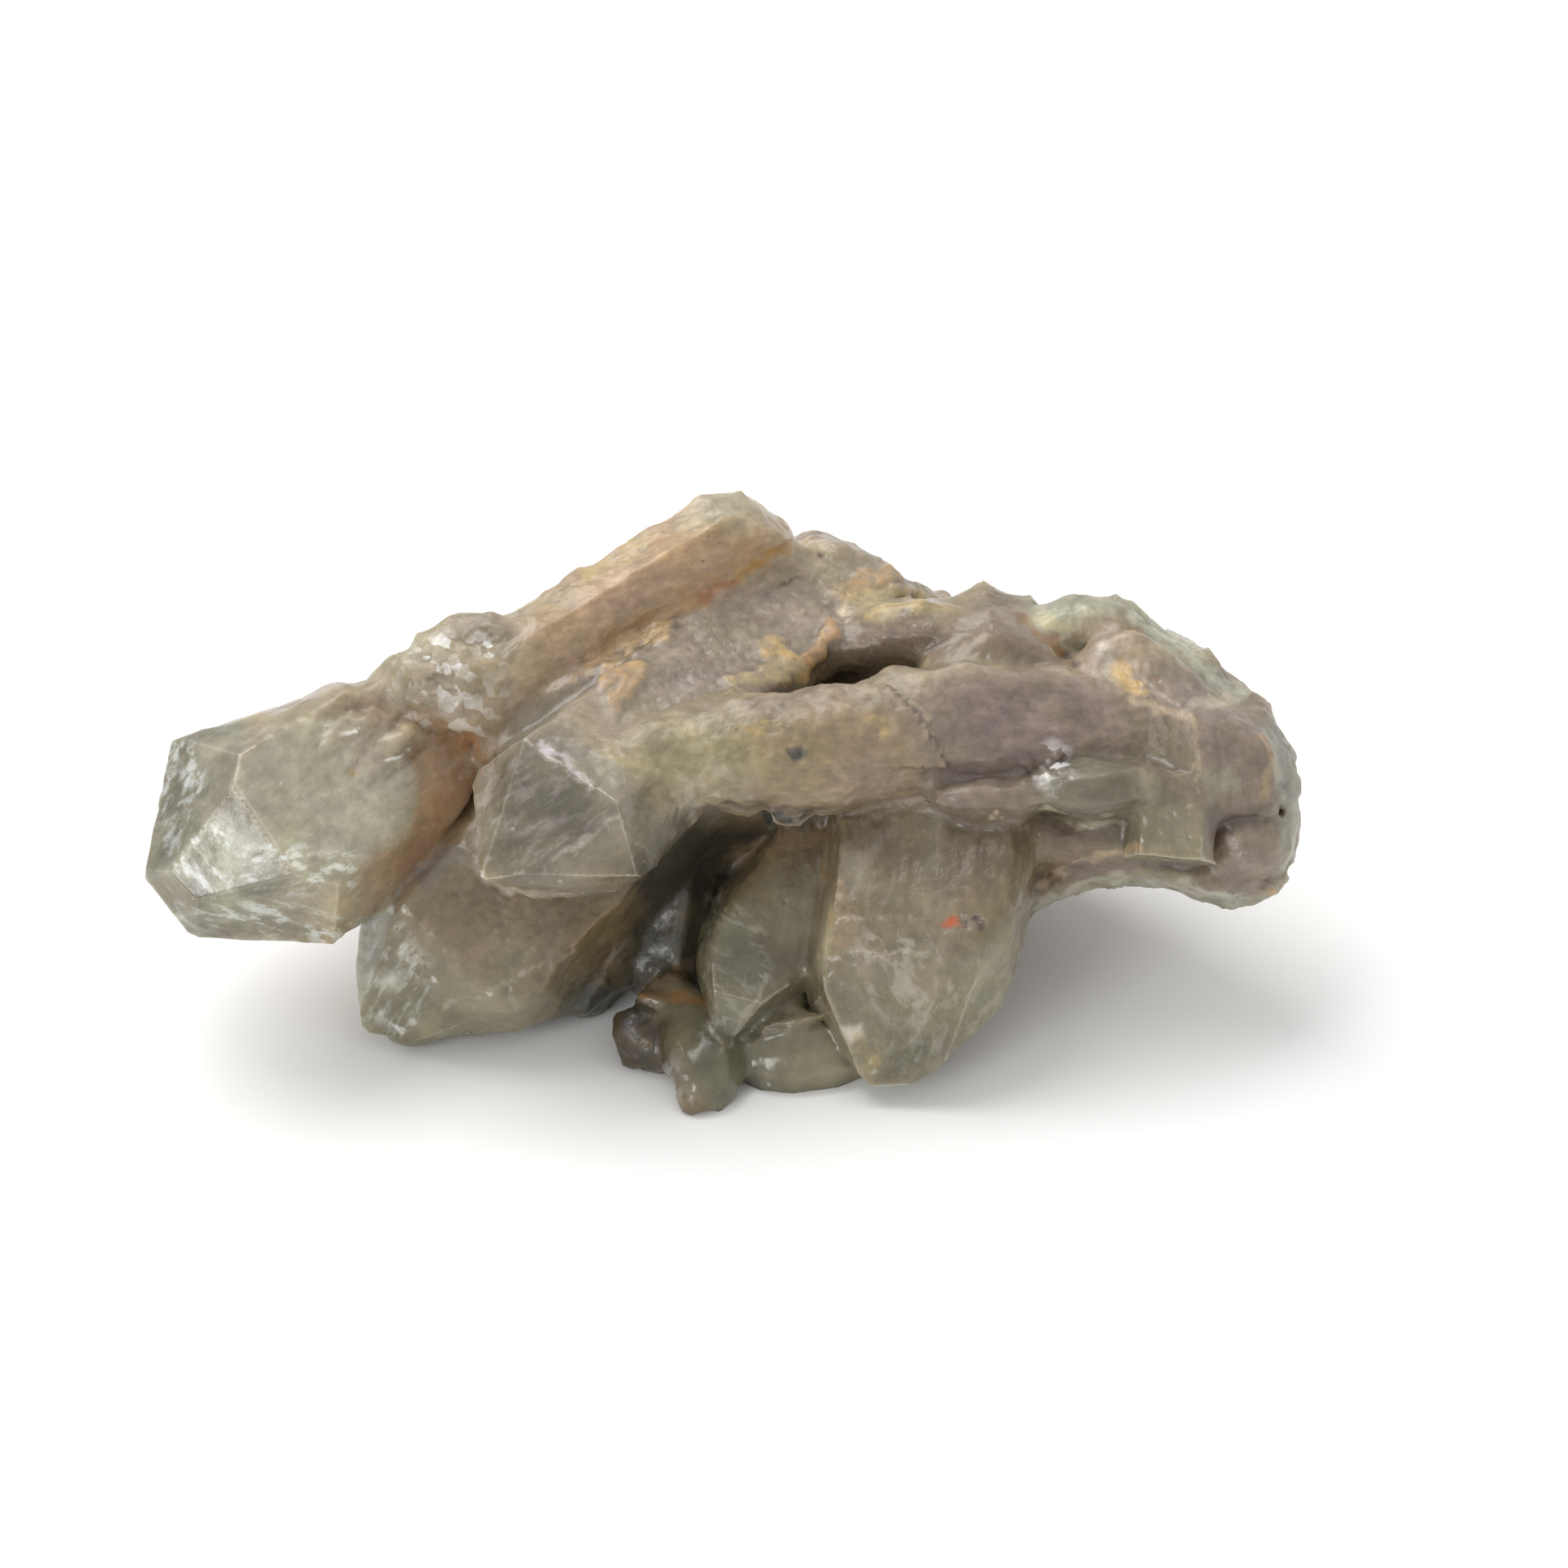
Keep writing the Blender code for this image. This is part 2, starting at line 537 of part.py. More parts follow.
def as_helper(item):
    """Show an object only as a guide, so that it isn't a part of its own."""
    item.hide_render = True
    item.display_type = "WIRE"


def table_cutter():
    """A slab under the table's height, which cuts flat rests where the lowest crystals reach it."""
    slab = bmesh.new()
    bmesh.ops.create_cube(slab, size=TABLE_SIZE * MM)
    mesh = bpy.data.meshes.new("table_slab")
    slab.to_mesh(mesh)
    slab.free()
    item = bpy.data.objects.new("table_slab", mesh)
    item.location = (0.0, 0.0, (TABLE - TABLE_SIZE / 2) * MM)
    return item


def stand_on_origin(item, holder):
    """Move everything so that the origin is under the middle of the finished piece."""
    graph = bpy.context.evaluated_depsgraph_get()
    corners = [item.matrix_world @ Vector(corner) for corner in item.evaluated_get(graph).bound_box]
    lowest = [min(corner[axis] for corner in corners) for axis in range(3)]
    highest = [max(corner[axis] for corner in corners) for axis in range(3)]
    holder.location = (
        -(lowest[0] + highest[0]) / 2, -(lowest[1] + highest[1]) / 2, -lowest[2]
    )


def main():
    for item in list(bpy.data.objects):
        bpy.data.objects.remove(item, do_unlink=True)
    scene = bpy.context.scene.collection
    holder = bpy.data.objects.new("cluster_origin", None)
    scene.objects.link(holder)
    crystals = bpy.data.collections.new("crystals")
    scene.children.link(crystals)
    for group in GROUPS:
        for number, body in enumerate(group(), 1):
            as_helper(add_object(body, f"{group.__name__}_{number}", crystals))
    slab = table_cutter()
    scene.objects.link(slab)
    as_helper(slab)

    cluster = add_object(broken_block(*SEED_CRYSTAL), NAME, scene)
    cluster.data.materials.append(quartz_material())
    join = cluster.modifiers.new("grown_together", "BOOLEAN")
    join.operation = "UNION"
    join.operand_type = "COLLECTION"
    join.collection = crystals
    rest = cluster.modifiers.new("flat_rests", "BOOLEAN")
    rest.operation = "DIFFERENCE"
    rest.object = slab
    for item in [cluster, slab] + list(crystals.objects):
        item.parent = holder
    stand_on_origin(cluster, holder)


main()
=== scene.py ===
# %% [markdown]
# # A cluster of quartz crystals, lying on a table
# The real object grew as one piece. Glassy six-sided points look out to the left and below, and
# behind them lie long, wavy, milky crystals that grew into one another. Every surface is quartz,
# but it looks different from place to place: clear where the crystal grew slowly, milky where it
# holds tiny bubbles, and yellow to brown where iron-rich water left a stain in a crevice.
# The shape comes from the construction model. This script gives it its fine surface and its looks.

# %% Load the construction model
import math

import bmesh
import bpy
import numpy as np
from mathutils import Matrix, Vector, noise
from mathutils.bvhtree import BVHTree


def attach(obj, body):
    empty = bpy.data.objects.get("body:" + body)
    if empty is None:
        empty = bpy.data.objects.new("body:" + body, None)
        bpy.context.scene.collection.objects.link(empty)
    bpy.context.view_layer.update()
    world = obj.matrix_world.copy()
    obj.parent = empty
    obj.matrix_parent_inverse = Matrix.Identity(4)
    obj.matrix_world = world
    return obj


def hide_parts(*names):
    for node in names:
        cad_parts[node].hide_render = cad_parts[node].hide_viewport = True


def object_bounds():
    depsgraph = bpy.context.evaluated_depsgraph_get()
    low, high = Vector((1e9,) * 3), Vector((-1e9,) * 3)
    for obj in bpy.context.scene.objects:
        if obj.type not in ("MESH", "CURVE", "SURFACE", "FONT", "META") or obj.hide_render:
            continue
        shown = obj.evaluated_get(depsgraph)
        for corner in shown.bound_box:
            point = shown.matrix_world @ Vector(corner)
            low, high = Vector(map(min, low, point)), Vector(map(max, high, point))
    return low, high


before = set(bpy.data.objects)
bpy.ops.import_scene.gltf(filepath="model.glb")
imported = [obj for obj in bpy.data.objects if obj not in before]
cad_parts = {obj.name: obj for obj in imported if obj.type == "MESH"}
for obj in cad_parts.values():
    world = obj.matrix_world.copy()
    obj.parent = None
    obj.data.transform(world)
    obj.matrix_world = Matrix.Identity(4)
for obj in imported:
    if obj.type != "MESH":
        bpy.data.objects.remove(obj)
cad_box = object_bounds()
NODE = "quartz_cluster"
print("construction model, mm:", [round(1000 * (b - a), 1) for a, b in zip(*cad_box)])

# %% [markdown]
# ## A leaning grid to place things by
# The crystals spread over a front that leans back from the table by the angle at which a person
# looks down at it. Places are easier to give on that front: across it, up along it and out of it,
# in millimetres. One matrix turns such a place into the model's own axes.

# %% The leaning front
MM = 0.001
LOOK_DOWN = math.radians(35.0)
FRONT_MIDDLE = Vector((-0.08, -14.32, 28.0)) * MM
FRONT = Matrix((
    (1.0, 0.0, 0.0),
    (0.0, math.sin(LOOK_DOWN), -math.cos(LOOK_DOWN)),
    (0.0, math.cos(LOOK_DOWN), math.sin(LOOK_DOWN)),
))


def from_front(across, up, out):
    """The point in the model's axes, in metres, of a place on the leaning front."""
    return FRONT_MIDDLE + FRONT @ (Vector((across, up, out)) * MM)


def to_front(points):
    """Places on the leaning front, in millimetres, of an array of points in metres."""
    return (points - np.array(FRONT_MIDDLE)) @ np.array(FRONT) / MM


print("middle of the front:", [round(value, 4) for value in FRONT_MIDDLE])

# %% [markdown]
# ## Camera
# The object was seen from in front and above, from far away, so a long lens keeps the crystals'
# edges parallel. The camera's distance is worked out from the width that the picture should show.

# %% Camera
LENS = 300.0
SENSOR = 36.0
VIEW_WIDTH = 161.0 * MM
FAR_LIMIT = 20.0
view_middle = from_front(6.08, 1.58, 0.0)
view_back = FRONT @ Vector((0.0, 0.0, 1.0))
camera_data = bpy.data.cameras.new("long_lens")
camera_data.lens = LENS
camera_data.sensor_width = SENSOR
camera_data.clip_end = FAR_LIMIT
camera = bpy.data.objects.new("camera", camera_data)
camera.location = view_middle + view_back * (VIEW_WIDTH * LENS / SENSOR)
camera.rotation_euler = (math.pi / 2 - LOOK_DOWN, 0.0, 0.0)
bpy.context.scene.collection.objects.link(camera)
bpy.context.scene.camera = camera
print("camera distance, m:", round((camera.location - view_middle).length, 3))

# %% [markdown]
# ## Helpers for materials
# Colours are given as hex values, as a picture program shows them, but Blender reckons in linear
# light, so one function turns them. A material is a tree of nodes, and one function adds any node:
# an input gets a fixed value, or a link if what it is given comes out of another node.


# %% Colours and nodes
def srgb(code):
    """Linear red, green and blue of a hex colour."""
    values = [int(code[start:start + 2], 16) / 255 for start in (1, 3, 5)]
    return [v / 12.92 if v <= 0.04045 else ((v + 0.055) / 1.055) ** 2.4 for v in values]


def add_node(tree, kind, inputs, **settings):
    """Add one node with its settings. Each input gets a value or another node's output."""
    node = tree.nodes.new(kind)
    for name, value in settings.items():
        setattr(node, name, value)
    for name, value in inputs.items():
        if isinstance(value, bpy.types.NodeSocket):
            tree.links.new(value, node.inputs[name])
        else:
            node.inputs[name].default_value = value
    return node


def new_material(name):
    """A new node material, its tree and its Principled shader."""
    material = bpy.data.materials.new(name)
    material.use_nodes = True
    return material, material.node_tree, material.node_tree.nodes["Principled BSDF"]


print("mid grey in linear light:", round(srgb("#808080")[0], 3))

# %% [markdown]
# ## Floor
# The table is a plain disc, painted matt and nearly white. Matt paint mirrors nothing, so it shows
# only the soft shadow under the crystals.

# %% Floor
FLOOR_RADIUS = 1.5
FLOOR_CORNERS = 96
floor_mesh = bpy.data.meshes.new("floor")
disc = bmesh.new()
bmesh.ops.create_circle(disc, cap_ends=True, radius=FLOOR_RADIUS, segments=FLOOR_CORNERS)
disc.to_mesh(floor_mesh)
disc.free()
floor = bpy.data.objects.new("floor", floor_mesh)
floor_paint, _, floor_shader = new_material("matt_white_table")
floor_shader.inputs["Base Color"].default_value = (*srgb("#F4F4F3"), 1.0)
floor_shader.inputs["Roughness"].default_value = 0.9
floor_mesh.materials.append(floor_paint)
bpy.context.scene.collection.objects.link(floor)
print("floor radius, m:", FLOOR_RADIUS)

# %% [markdown]
# ## Light
# The light is soft: a broad lamp above and behind, a weaker one in front, and a grey room all
# round, so that glassy faces have something bright and something darker to mirror.

# %% Lamps and room: place in metres, width in metres, power in watts
ROOM_LIGHT = 0.7
LAMP_AIM = Vector((0.0, 0.0, 0.02))
LAMPS = {
    "broad_lamp_above": ((-0.35, 0.30, 0.85), 0.80, 7.5),
    "weak_lamp_in_front": ((-0.45, -0.75, 0.40), 0.35, 2.4),
}
for name, (place, size, power) in LAMPS.items():
    lamp_data = bpy.data.lights.new(name, "AREA")
    lamp_data.size = size
    lamp_data.energy = power
    lamp = bpy.data.objects.new(name, lamp_data)
    lamp.location = place
    lamp.rotation_euler = (LAMP_AIM - Vector(place)).to_track_quat("-Z", "Y").to_euler()
    bpy.context.scene.collection.objects.link(lamp)
world = bpy.data.worlds.new("grey_room")
world.use_nodes = True
world.node_tree.nodes["Background"].inputs["Color"].default_value = (1.0, 1.0, 1.0, 1.0)
world.node_tree.nodes["Background"].inputs["Strength"].default_value = ROOM_LIGHT
bpy.context.scene.world = world
bpy.context.scene.view_settings.view_transform = "Standard"
print(len(LAMPS), "lamps")

# %% [markdown]
# ## The crystals, one by one
# Each crystal has a line that it grew along, a thickness, and at each end a colour, a clearness
# and a roughness. Clearness is 1 for window clear and 0 for milky. Roughness is 0 for a crystal's
# own mirror-flat face and 1 for lumpy growth. A point is clear and smooth at its tip, where it
# grew last and slowest. The lines also say which way the fine ridges run.

# %% Crystals: start, end, reach, colours, clearness, roughness
CRYSTALS = {
    "left_point": ((-59.9, -11.7, 5.8), (-24, 11.6, -19), 12, "#B4B5A8", "#A58D6E", 0.85, 0.0, 0.0, 0.5),
    "upper_left": ((-34, 13, -4), (5, 27, -20), 6, "#B5AC98", "#BDA98C", 0.35, 0.05, 1.0, 0.6),
    "middle_point": ((-25.1, -8.9, 11.3), (22, 26, -34), 9.5, "#91897A", "#9C9083", 0.75, 0.0, 0.0, 0.8),
    "front": ((-10, 4.4, 4), (42, 5.4, -7), 7, "#A99C80", "#94857A", 0.15, 0.0, 0.8, 0.8),
    "rear_hump": ((11, 15.5, -14), (34, 15.5, -14), 5, "#94856F", "#988A7A", 0.0, 0.1, 0.7, 0.6),
    "right_top": ((33, 17, -14), (46, 14, -13.5), 4, "#C6C4B2", "#C2C0AE", 0.5, 0.4, 0.5, 0.6),
    "upright_left": ((41, 4, -7.4), (40, 18, -9), 4.6, "#A29184", "#B1A087", 0.0, 0.1, 0.7, 0.8),
    "upright_middle": ((49, 4, -8.2), (47, 16, -10), 4.4, "#9A8B80", "#B0A690", 0.0, 0.2, 0.6, 0.8),
    "right_main": ((48.6, -1.2, -8), (49, 10, -8), 7.2, "#96877D", "#9A8C82", 0.05, 0.05, 0.5, 0.7),
    "right_low": ((50, -7, -8), (57, -4, -9.5), 4.6, "#90837A", "#958A80", 0.0, 0.1, 0.6, 0.7),
    "right_band": ((30, -3.6, -8), (46, -2.8, -8), 4, "#7F705C", "#8C7C66", 0.0, 0.0, 0.6, 0.6),
    "rounded": ((33, 1, 0), (44, 2, -2.4), 3.4, "#7A7565", "#766E62", 0.3, 0.1, 0.5, 0.5),
    "lens": ((21.5, 0.4, 1.6), (32, 0.6, -0.6), 2.6, "#91827A", "#8D8078", 0.2, 0.1, 0.6, 0.6),
    "square": ((45.8, -7, -2.4), (45.8, 2.2, -2.8), 4.3, "#8F8974", "#8C8370", 0.3, 0.1, 0.2, 0.4),
    "rim_top": ((41, 18.4, -15), (58.2, 3, -12), 2.6, "#C2C2B2", "#C0C0B0", 0.5, 0.5, 0.9, 0.9),
    "rim_side": ((58.2, 3, -12), (57.2, -8.8, -10), 2.4, "#B8B9AC", "#B2AB9A", 0.5, 0.3, 0.8, 0.8),
    "wing": ((31, -9.6, -11.5), (56, -9.2, -10), 3.2, "#968B78", "#A5A094", 0.2, 0.4, 0.7, 0.8),
    "lower_right": ((17, -34.5, -0.8), (19.7, 4.6, -15.9), 13, "#8E8A70", "#84765F", 0.7, 0.05, 0.0, 0.5),
    "lower_middle": ((-0.6, -26.6, -5), (6.6, 7.2, -14.9), 8, "#78745F", "#77694F", 0.6, 0.1, 0.1, 0.6),
    "small_lower": ((2, -26.6, -8), (15, -25.2, -10), 5, "#5F5B4B", "#615D4C", 0.3, 0.2, 0.4, 0.6),
    "lower_left": ((-38.6, -26.6, -9.5), (-9.5, 3.5, -12.4), 10.5, "#928D74", "#78694F", 0.65, 0.1, 0.1, 0.6),
    # The two recess crystals are darker than their own colour: partly dark quartz, partly painted shade of
    # the deep recess.
    "recess": ((-7.6, -24, -16), (-3.5, 5.5, -18), 4.6, "#545248", "#403D38", 0.35, 0.2, 0.2, 0.4),
    "recess_side": ((-16, -18, -15.5), (-10, -16, -16), 6, "#524B41", "#443F37", 0.2, 0.2, 0.6, 0.6),
    "claw": ((-6, -19.5, -12), (-3.4, -32, -2.5), 3, "#86714F", "#7A6A52", 0.05, 0.1, 0.7, 0.6),
    # The knob's dark brown is partly its own colour and partly painted shade, for it lies below and behind
    # the rest.
    "knob": ((-8.2, -25, -9), (-7.8, -24.6, -9), 3.6, "#4C402C", "#4C402C", 0.1, 0.1, 0.8, 0.8),
    "root": ((-26, 4, -24), (46, 2, -20), 11, "#9A8A74", "#9A8C78", 0.0, 0.0, 1.0, 1.0),
    "base": ((2, -20, -30), (18, 8, -31), 10, "#93816A", "#93816A", 0.0, 0.0, 1.0, 1.0),
}
print(len(CRYSTALS), "crystals")

# %% [markdown]
# ## A fine mesh with the true crystal faces
# The construction model has a few thousand triangles. A crystal's own faces are flat, so all the
# triangles in one plane belong together. The rest is rough growth, whose coarse triangles are
# split and then smoothed. Splitting only the long edges keeps the small ones. What a person in
# front of the crystals sees gets finer triangles than the rest, because the fine growth is there.

# %% Join the construction mesh: distances in millimetres
WELD = 0.002
NEARLY_FLAT = math.radians(0.6)


def merged_copy(node):
    """A copy of a construction mesh with its shared corners joined."""
    body = bmesh.new()
    body.from_mesh(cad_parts[node].data)
    bmesh.ops.remove_doubles(body, verts=body.verts, dist=WELD * MM)
    bmesh.ops.dissolve_degenerate(body, edges=body.edges, dist=WELD * MM)
    bmesh.ops.dissolve_limit(body, angle_limit=NEARLY_FLAT, verts=body.verts, edges=body.edges)
    bmesh.ops.triangulate(body, faces=body.faces)
    return body


surface = merged_copy(NODE)
print("triangles in the joined mesh:", len(surface.faces))

# %% Find the crystal faces: areas in square millimetres
LEAST_TRIANGLE = 0.5
LEAST_FACE = 14.0
ON_PLANE = 0.02


def crystal_planes(body):
    """Normal and distance of each plane whose triangles add up to a true crystal face."""
    found = {}
    for face in body.faces:
        area = face.calc_area() / MM ** 2
        if area < LEAST_TRIANGLE:
            continue
        face.normal_update()
        normal = face.normal
        reach = normal.dot(face.verts[0].co) / MM
        key = tuple(round(100 * value) for value in normal) + (round(8 * reach),)
        total, _, _ = found.get(key, (0.0, None, None))
        found[key] = (total + area, normal.copy(), reach)
    kept = [entry for entry in found.values() if entry[0] > LEAST_FACE]
    return np.array([list(normal) + [reach] for _, normal, reach in kept])


def on_planes(body, planes):
    """For each vertex, the planes that it lies on, as an array of True and False."""
    spots = np.array([vertex.co for vertex in body.verts]) / MM
    return np.abs(spots @ planes[:, :3].T - planes[:, 3]) < ON_PLANE


def flat_faces(body, planes):
    """True for each triangle whose corners share a crystal plane."""
    touching = on_planes(body, planes)
    corners = np.array([[vertex.index for vertex in face.verts] for face in body.faces])
    shared = touching[corners[:, 0]] & touching[corners[:, 1]] & touching[corners[:, 2]]
    return shared.any(axis=1)


planes = crystal_planes(surface)
print(len(planes), "crystal planes")

# %% Split the long edges: lengths in millimetres
FRONT_EDGE = 0.46
BACK_EDGE = 1.4
TOO_LONG = 1.5
SPLIT_ROUNDS = 6
SLIVER = 0.02
GRAZING = 0.02
CLEARANCE = 0.2


def is_seen(face, shape):
    """True for a face that looks to the front and has nothing of the shape before it."""
    if face.normal.dot(view_back) < GRAZING:
        return False
    place = face.calc_center_median() + view_back * CLEARANCE * MM
    return shape.ray_cast(place, view_back)[0] is None


def triangulate_new_faces(body):
    """Turn the faces that a split or a repair left with more than three corners to triangles."""
    bmesh.ops.triangulate(body, faces=[face for face in body.faces if len(face.verts) > 3])


def split_long_edges(body):
    """Halve the edges that are longer than their side of the object allows, a few times over."""
    shape = BVHTree.FromBMesh(body)
    for _ in range(SPLIT_ROUNDS):
        body.normal_update()
        long_edges = {}
        for face in body.faces:
            lengths = [edge.calc_length() / MM for edge in face.edges]
            if max(lengths) < TOO_LONG * FRONT_EDGE:
                continue
            size = FRONT_EDGE if is_seen(face, shape) else BACK_EDGE
            for edge, length in zip(face.edges, lengths):
                if length > TOO_LONG * size:
                    long_edges[edge] = length
        if not long_edges:
            break
        bmesh.ops.subdivide_edges(body, edges=list(long_edges), cuts=1)
        triangulate_new_faces(body)
    bmesh.ops.dissolve_degenerate(body, edges=body.edges, dist=SLIVER * MM)
    triangulate_new_faces(body)


split_long_edges(surface)
surface.verts.index_update()
surface.faces.index_update()
print("triangles in the fine mesh:", len(surface.faces))

# %% [markdown]
# ## Which crystal is it?
# A point belongs mostly to the crystal whose line is nearest, and a little to the next ones, so the
# colours flow into one another as they do in crystals that grew together.

# %% Colour, clearness and roughness of each point
BORDER_SHARPNESS = 5.0
TINT_SPREAD = 1.6
CLEAR_SPREAD = 2.0
surface.verts.ensure_lookup_table()
surface.faces.ensure_lookup_table()
points = np.array([vertex.co for vertex in surface.verts])
places = to_front(points)


def nearness(places, start, end, reach):
    """Distance from a crystal's line over its reach, and how far along the line, from 0 to 1."""
    start = np.array(start, float)
    line = np.array(end, float) - start
    along = np.clip((places - start) @ line / (line @ line), 0, 1)
    away = np.linalg.norm(places - start - along[:, None] * line, axis=1)
    return away / reach, along


weights, tints, clears, roughs, axes = [], [], [], [], []
for start, end, reach, tint_a, tint_b, clear_a, clear_b, rough_a, rough_b in CRYSTALS.values():
    distance, along = nearness(places, start, end, reach)
    weights.append(np.exp(-BORDER_SHARPNESS * distance ** 2))
    share = np.clip(along * TINT_SPREAD, 0, 1)
    tints.append(np.outer(1 - share, srgb(tint_a)) + np.outer(share, srgb(tint_b)))
    share = np.clip(along * CLEAR_SPREAD, 0, 1)
    clears.append(clear_a + (clear_b - clear_a) * share)
    roughs.append(rough_a + (rough_b - rough_a) * share)
    axes.append(FRONT @ (Vector(end) - Vector(start)).normalized())
weights = np.array(weights) + 1e-9
nearest = weights.argmax(axis=0)
axis = np.array(axes)[nearest]
weights = weights / weights.sum(axis=0)
tint = (weights[:, :, None] * np.array(tints)).sum(axis=0)
clear = (weights * np.array(clears)).sum(axis=0)
rough = (weights * np.array(roughs)).sum(axis=0)
print("clearness from", round(clear.min(), 2), "to", round(clear.max(), 2))

# %% [markdown]
# ## Broken places
# Where a crystal broke, it glitters, because each small broken face mirrors the light its own way.
# The broken end at the upper left does so most. The material also paints white glints on these
# places, as painted highlights.

# %% Broken places: across, up, out, reach and amount
CLEARLY_BROKEN = 0.3
GLITTER = [
    (-29, 13.6, -1, 3.2, 1.0), (-24.4, 15.2, -3, 2.6, 1.0), (-27, 10, -3, 4, 0.5),
    (-31, 12, -3, 3.4, 0.5), (33.6, 3.2, 1, 2.2, 0.9), (-56, 1, 2, 3, 0.7), (-33, -19, -3, 3, 0.4),
    (-5, -29, -4, 3, 0.2), (-2, 1, 6, 4, 0.12), (19, -25, 3, 4, 0.2),
]
glitter = np.zeros(len(places))
for across, up, out, size, amount in GLITTER:
    away = np.linalg.norm(places - np.array([across, up, out]), axis=1)
    glitter = np.maximum(glitter, amount * np.clip(1.5 - away / size, 0, 1))
print("vertices in broken places:", int((glitter > CLEARLY_BROKEN).sum()))

# %% [markdown]
# ## Wear the edges of the milky crystals
# Milky, lumpy crystals have lost their edges, and where two of them touch they have grown into one
# another. Each smoothing step moves a point to the middle of its neighbours, and the roughest
# growth gets the most steps. The corners of glassy faces stay where they are, and thin rims and
# broken places get few steps, so that they keep their edges.

# %% Smooth what is not a glassy face
GLASSY = 0.34
SMOOTHING_STEPS = 24
LEAST_SMOOTHING = 0.25
MORE_SMOOTHING = 1.4
SOFTENED = {
    "upper_left": 64, "right_main": 40, "upright_left": 40, "upright_middle": 40, "rear_hump": 30,
}
THIN = ("claw", "knob", "rim_top", "rim_side", "wing", "right_top", "recess_side")
THIN_STEPS = 5
BROKEN_STEPS = 4
flat = flat_faces(surface, planes)
held = np.zeros(len(surface.verts), bool)
for face, is_flat in zip(surface.faces, flat):
    if is_flat:
        for vertex in face.verts:
            held[vertex.index] = rough[vertex.index] < GLASSY
# Corners where two crystal faces meet: the material paints a pale highlight along them.
on_edge = np.where(held, on_planes(surface, planes).sum(axis=1) > 1, 0.0)
steps = np.where(held, 0, np.clip(rough * MORE_SMOOTHING, LEAST_SMOOTHING, 1) * SMOOTHING_STEPS)
for name, count in SOFTENED.items():
    steps = np.where((nearest == list(CRYSTALS).index(name)) & ~held, count, steps)
thin = np.isin(nearest, [list(CRYSTALS).index(name) for name in THIN])
steps = np.where(thin, np.minimum(steps, THIN_STEPS), steps)
steps = np.where(glitter > CLEARLY_BROKEN, np.minimum(steps, BROKEN_STEPS), steps)
for step in range(int(steps.max())):
    bmesh.ops.smooth_vert(
        surface, verts=[vertex for vertex, count in zip(surface.verts, steps) if count > step],
        factor=0.5, use_axis_x=True, use_axis_y=True, use_axis_z=True,
    )
surface.normal_update()
points = np.array([vertex.co for vertex in surface.verts])
normals = np.array([vertex.normal for vertex in surface.verts])
places = to_front(points)
facing = normals @ np.array(view_back)
print("held vertices:", int(held.sum()), "of", len(surface.verts))
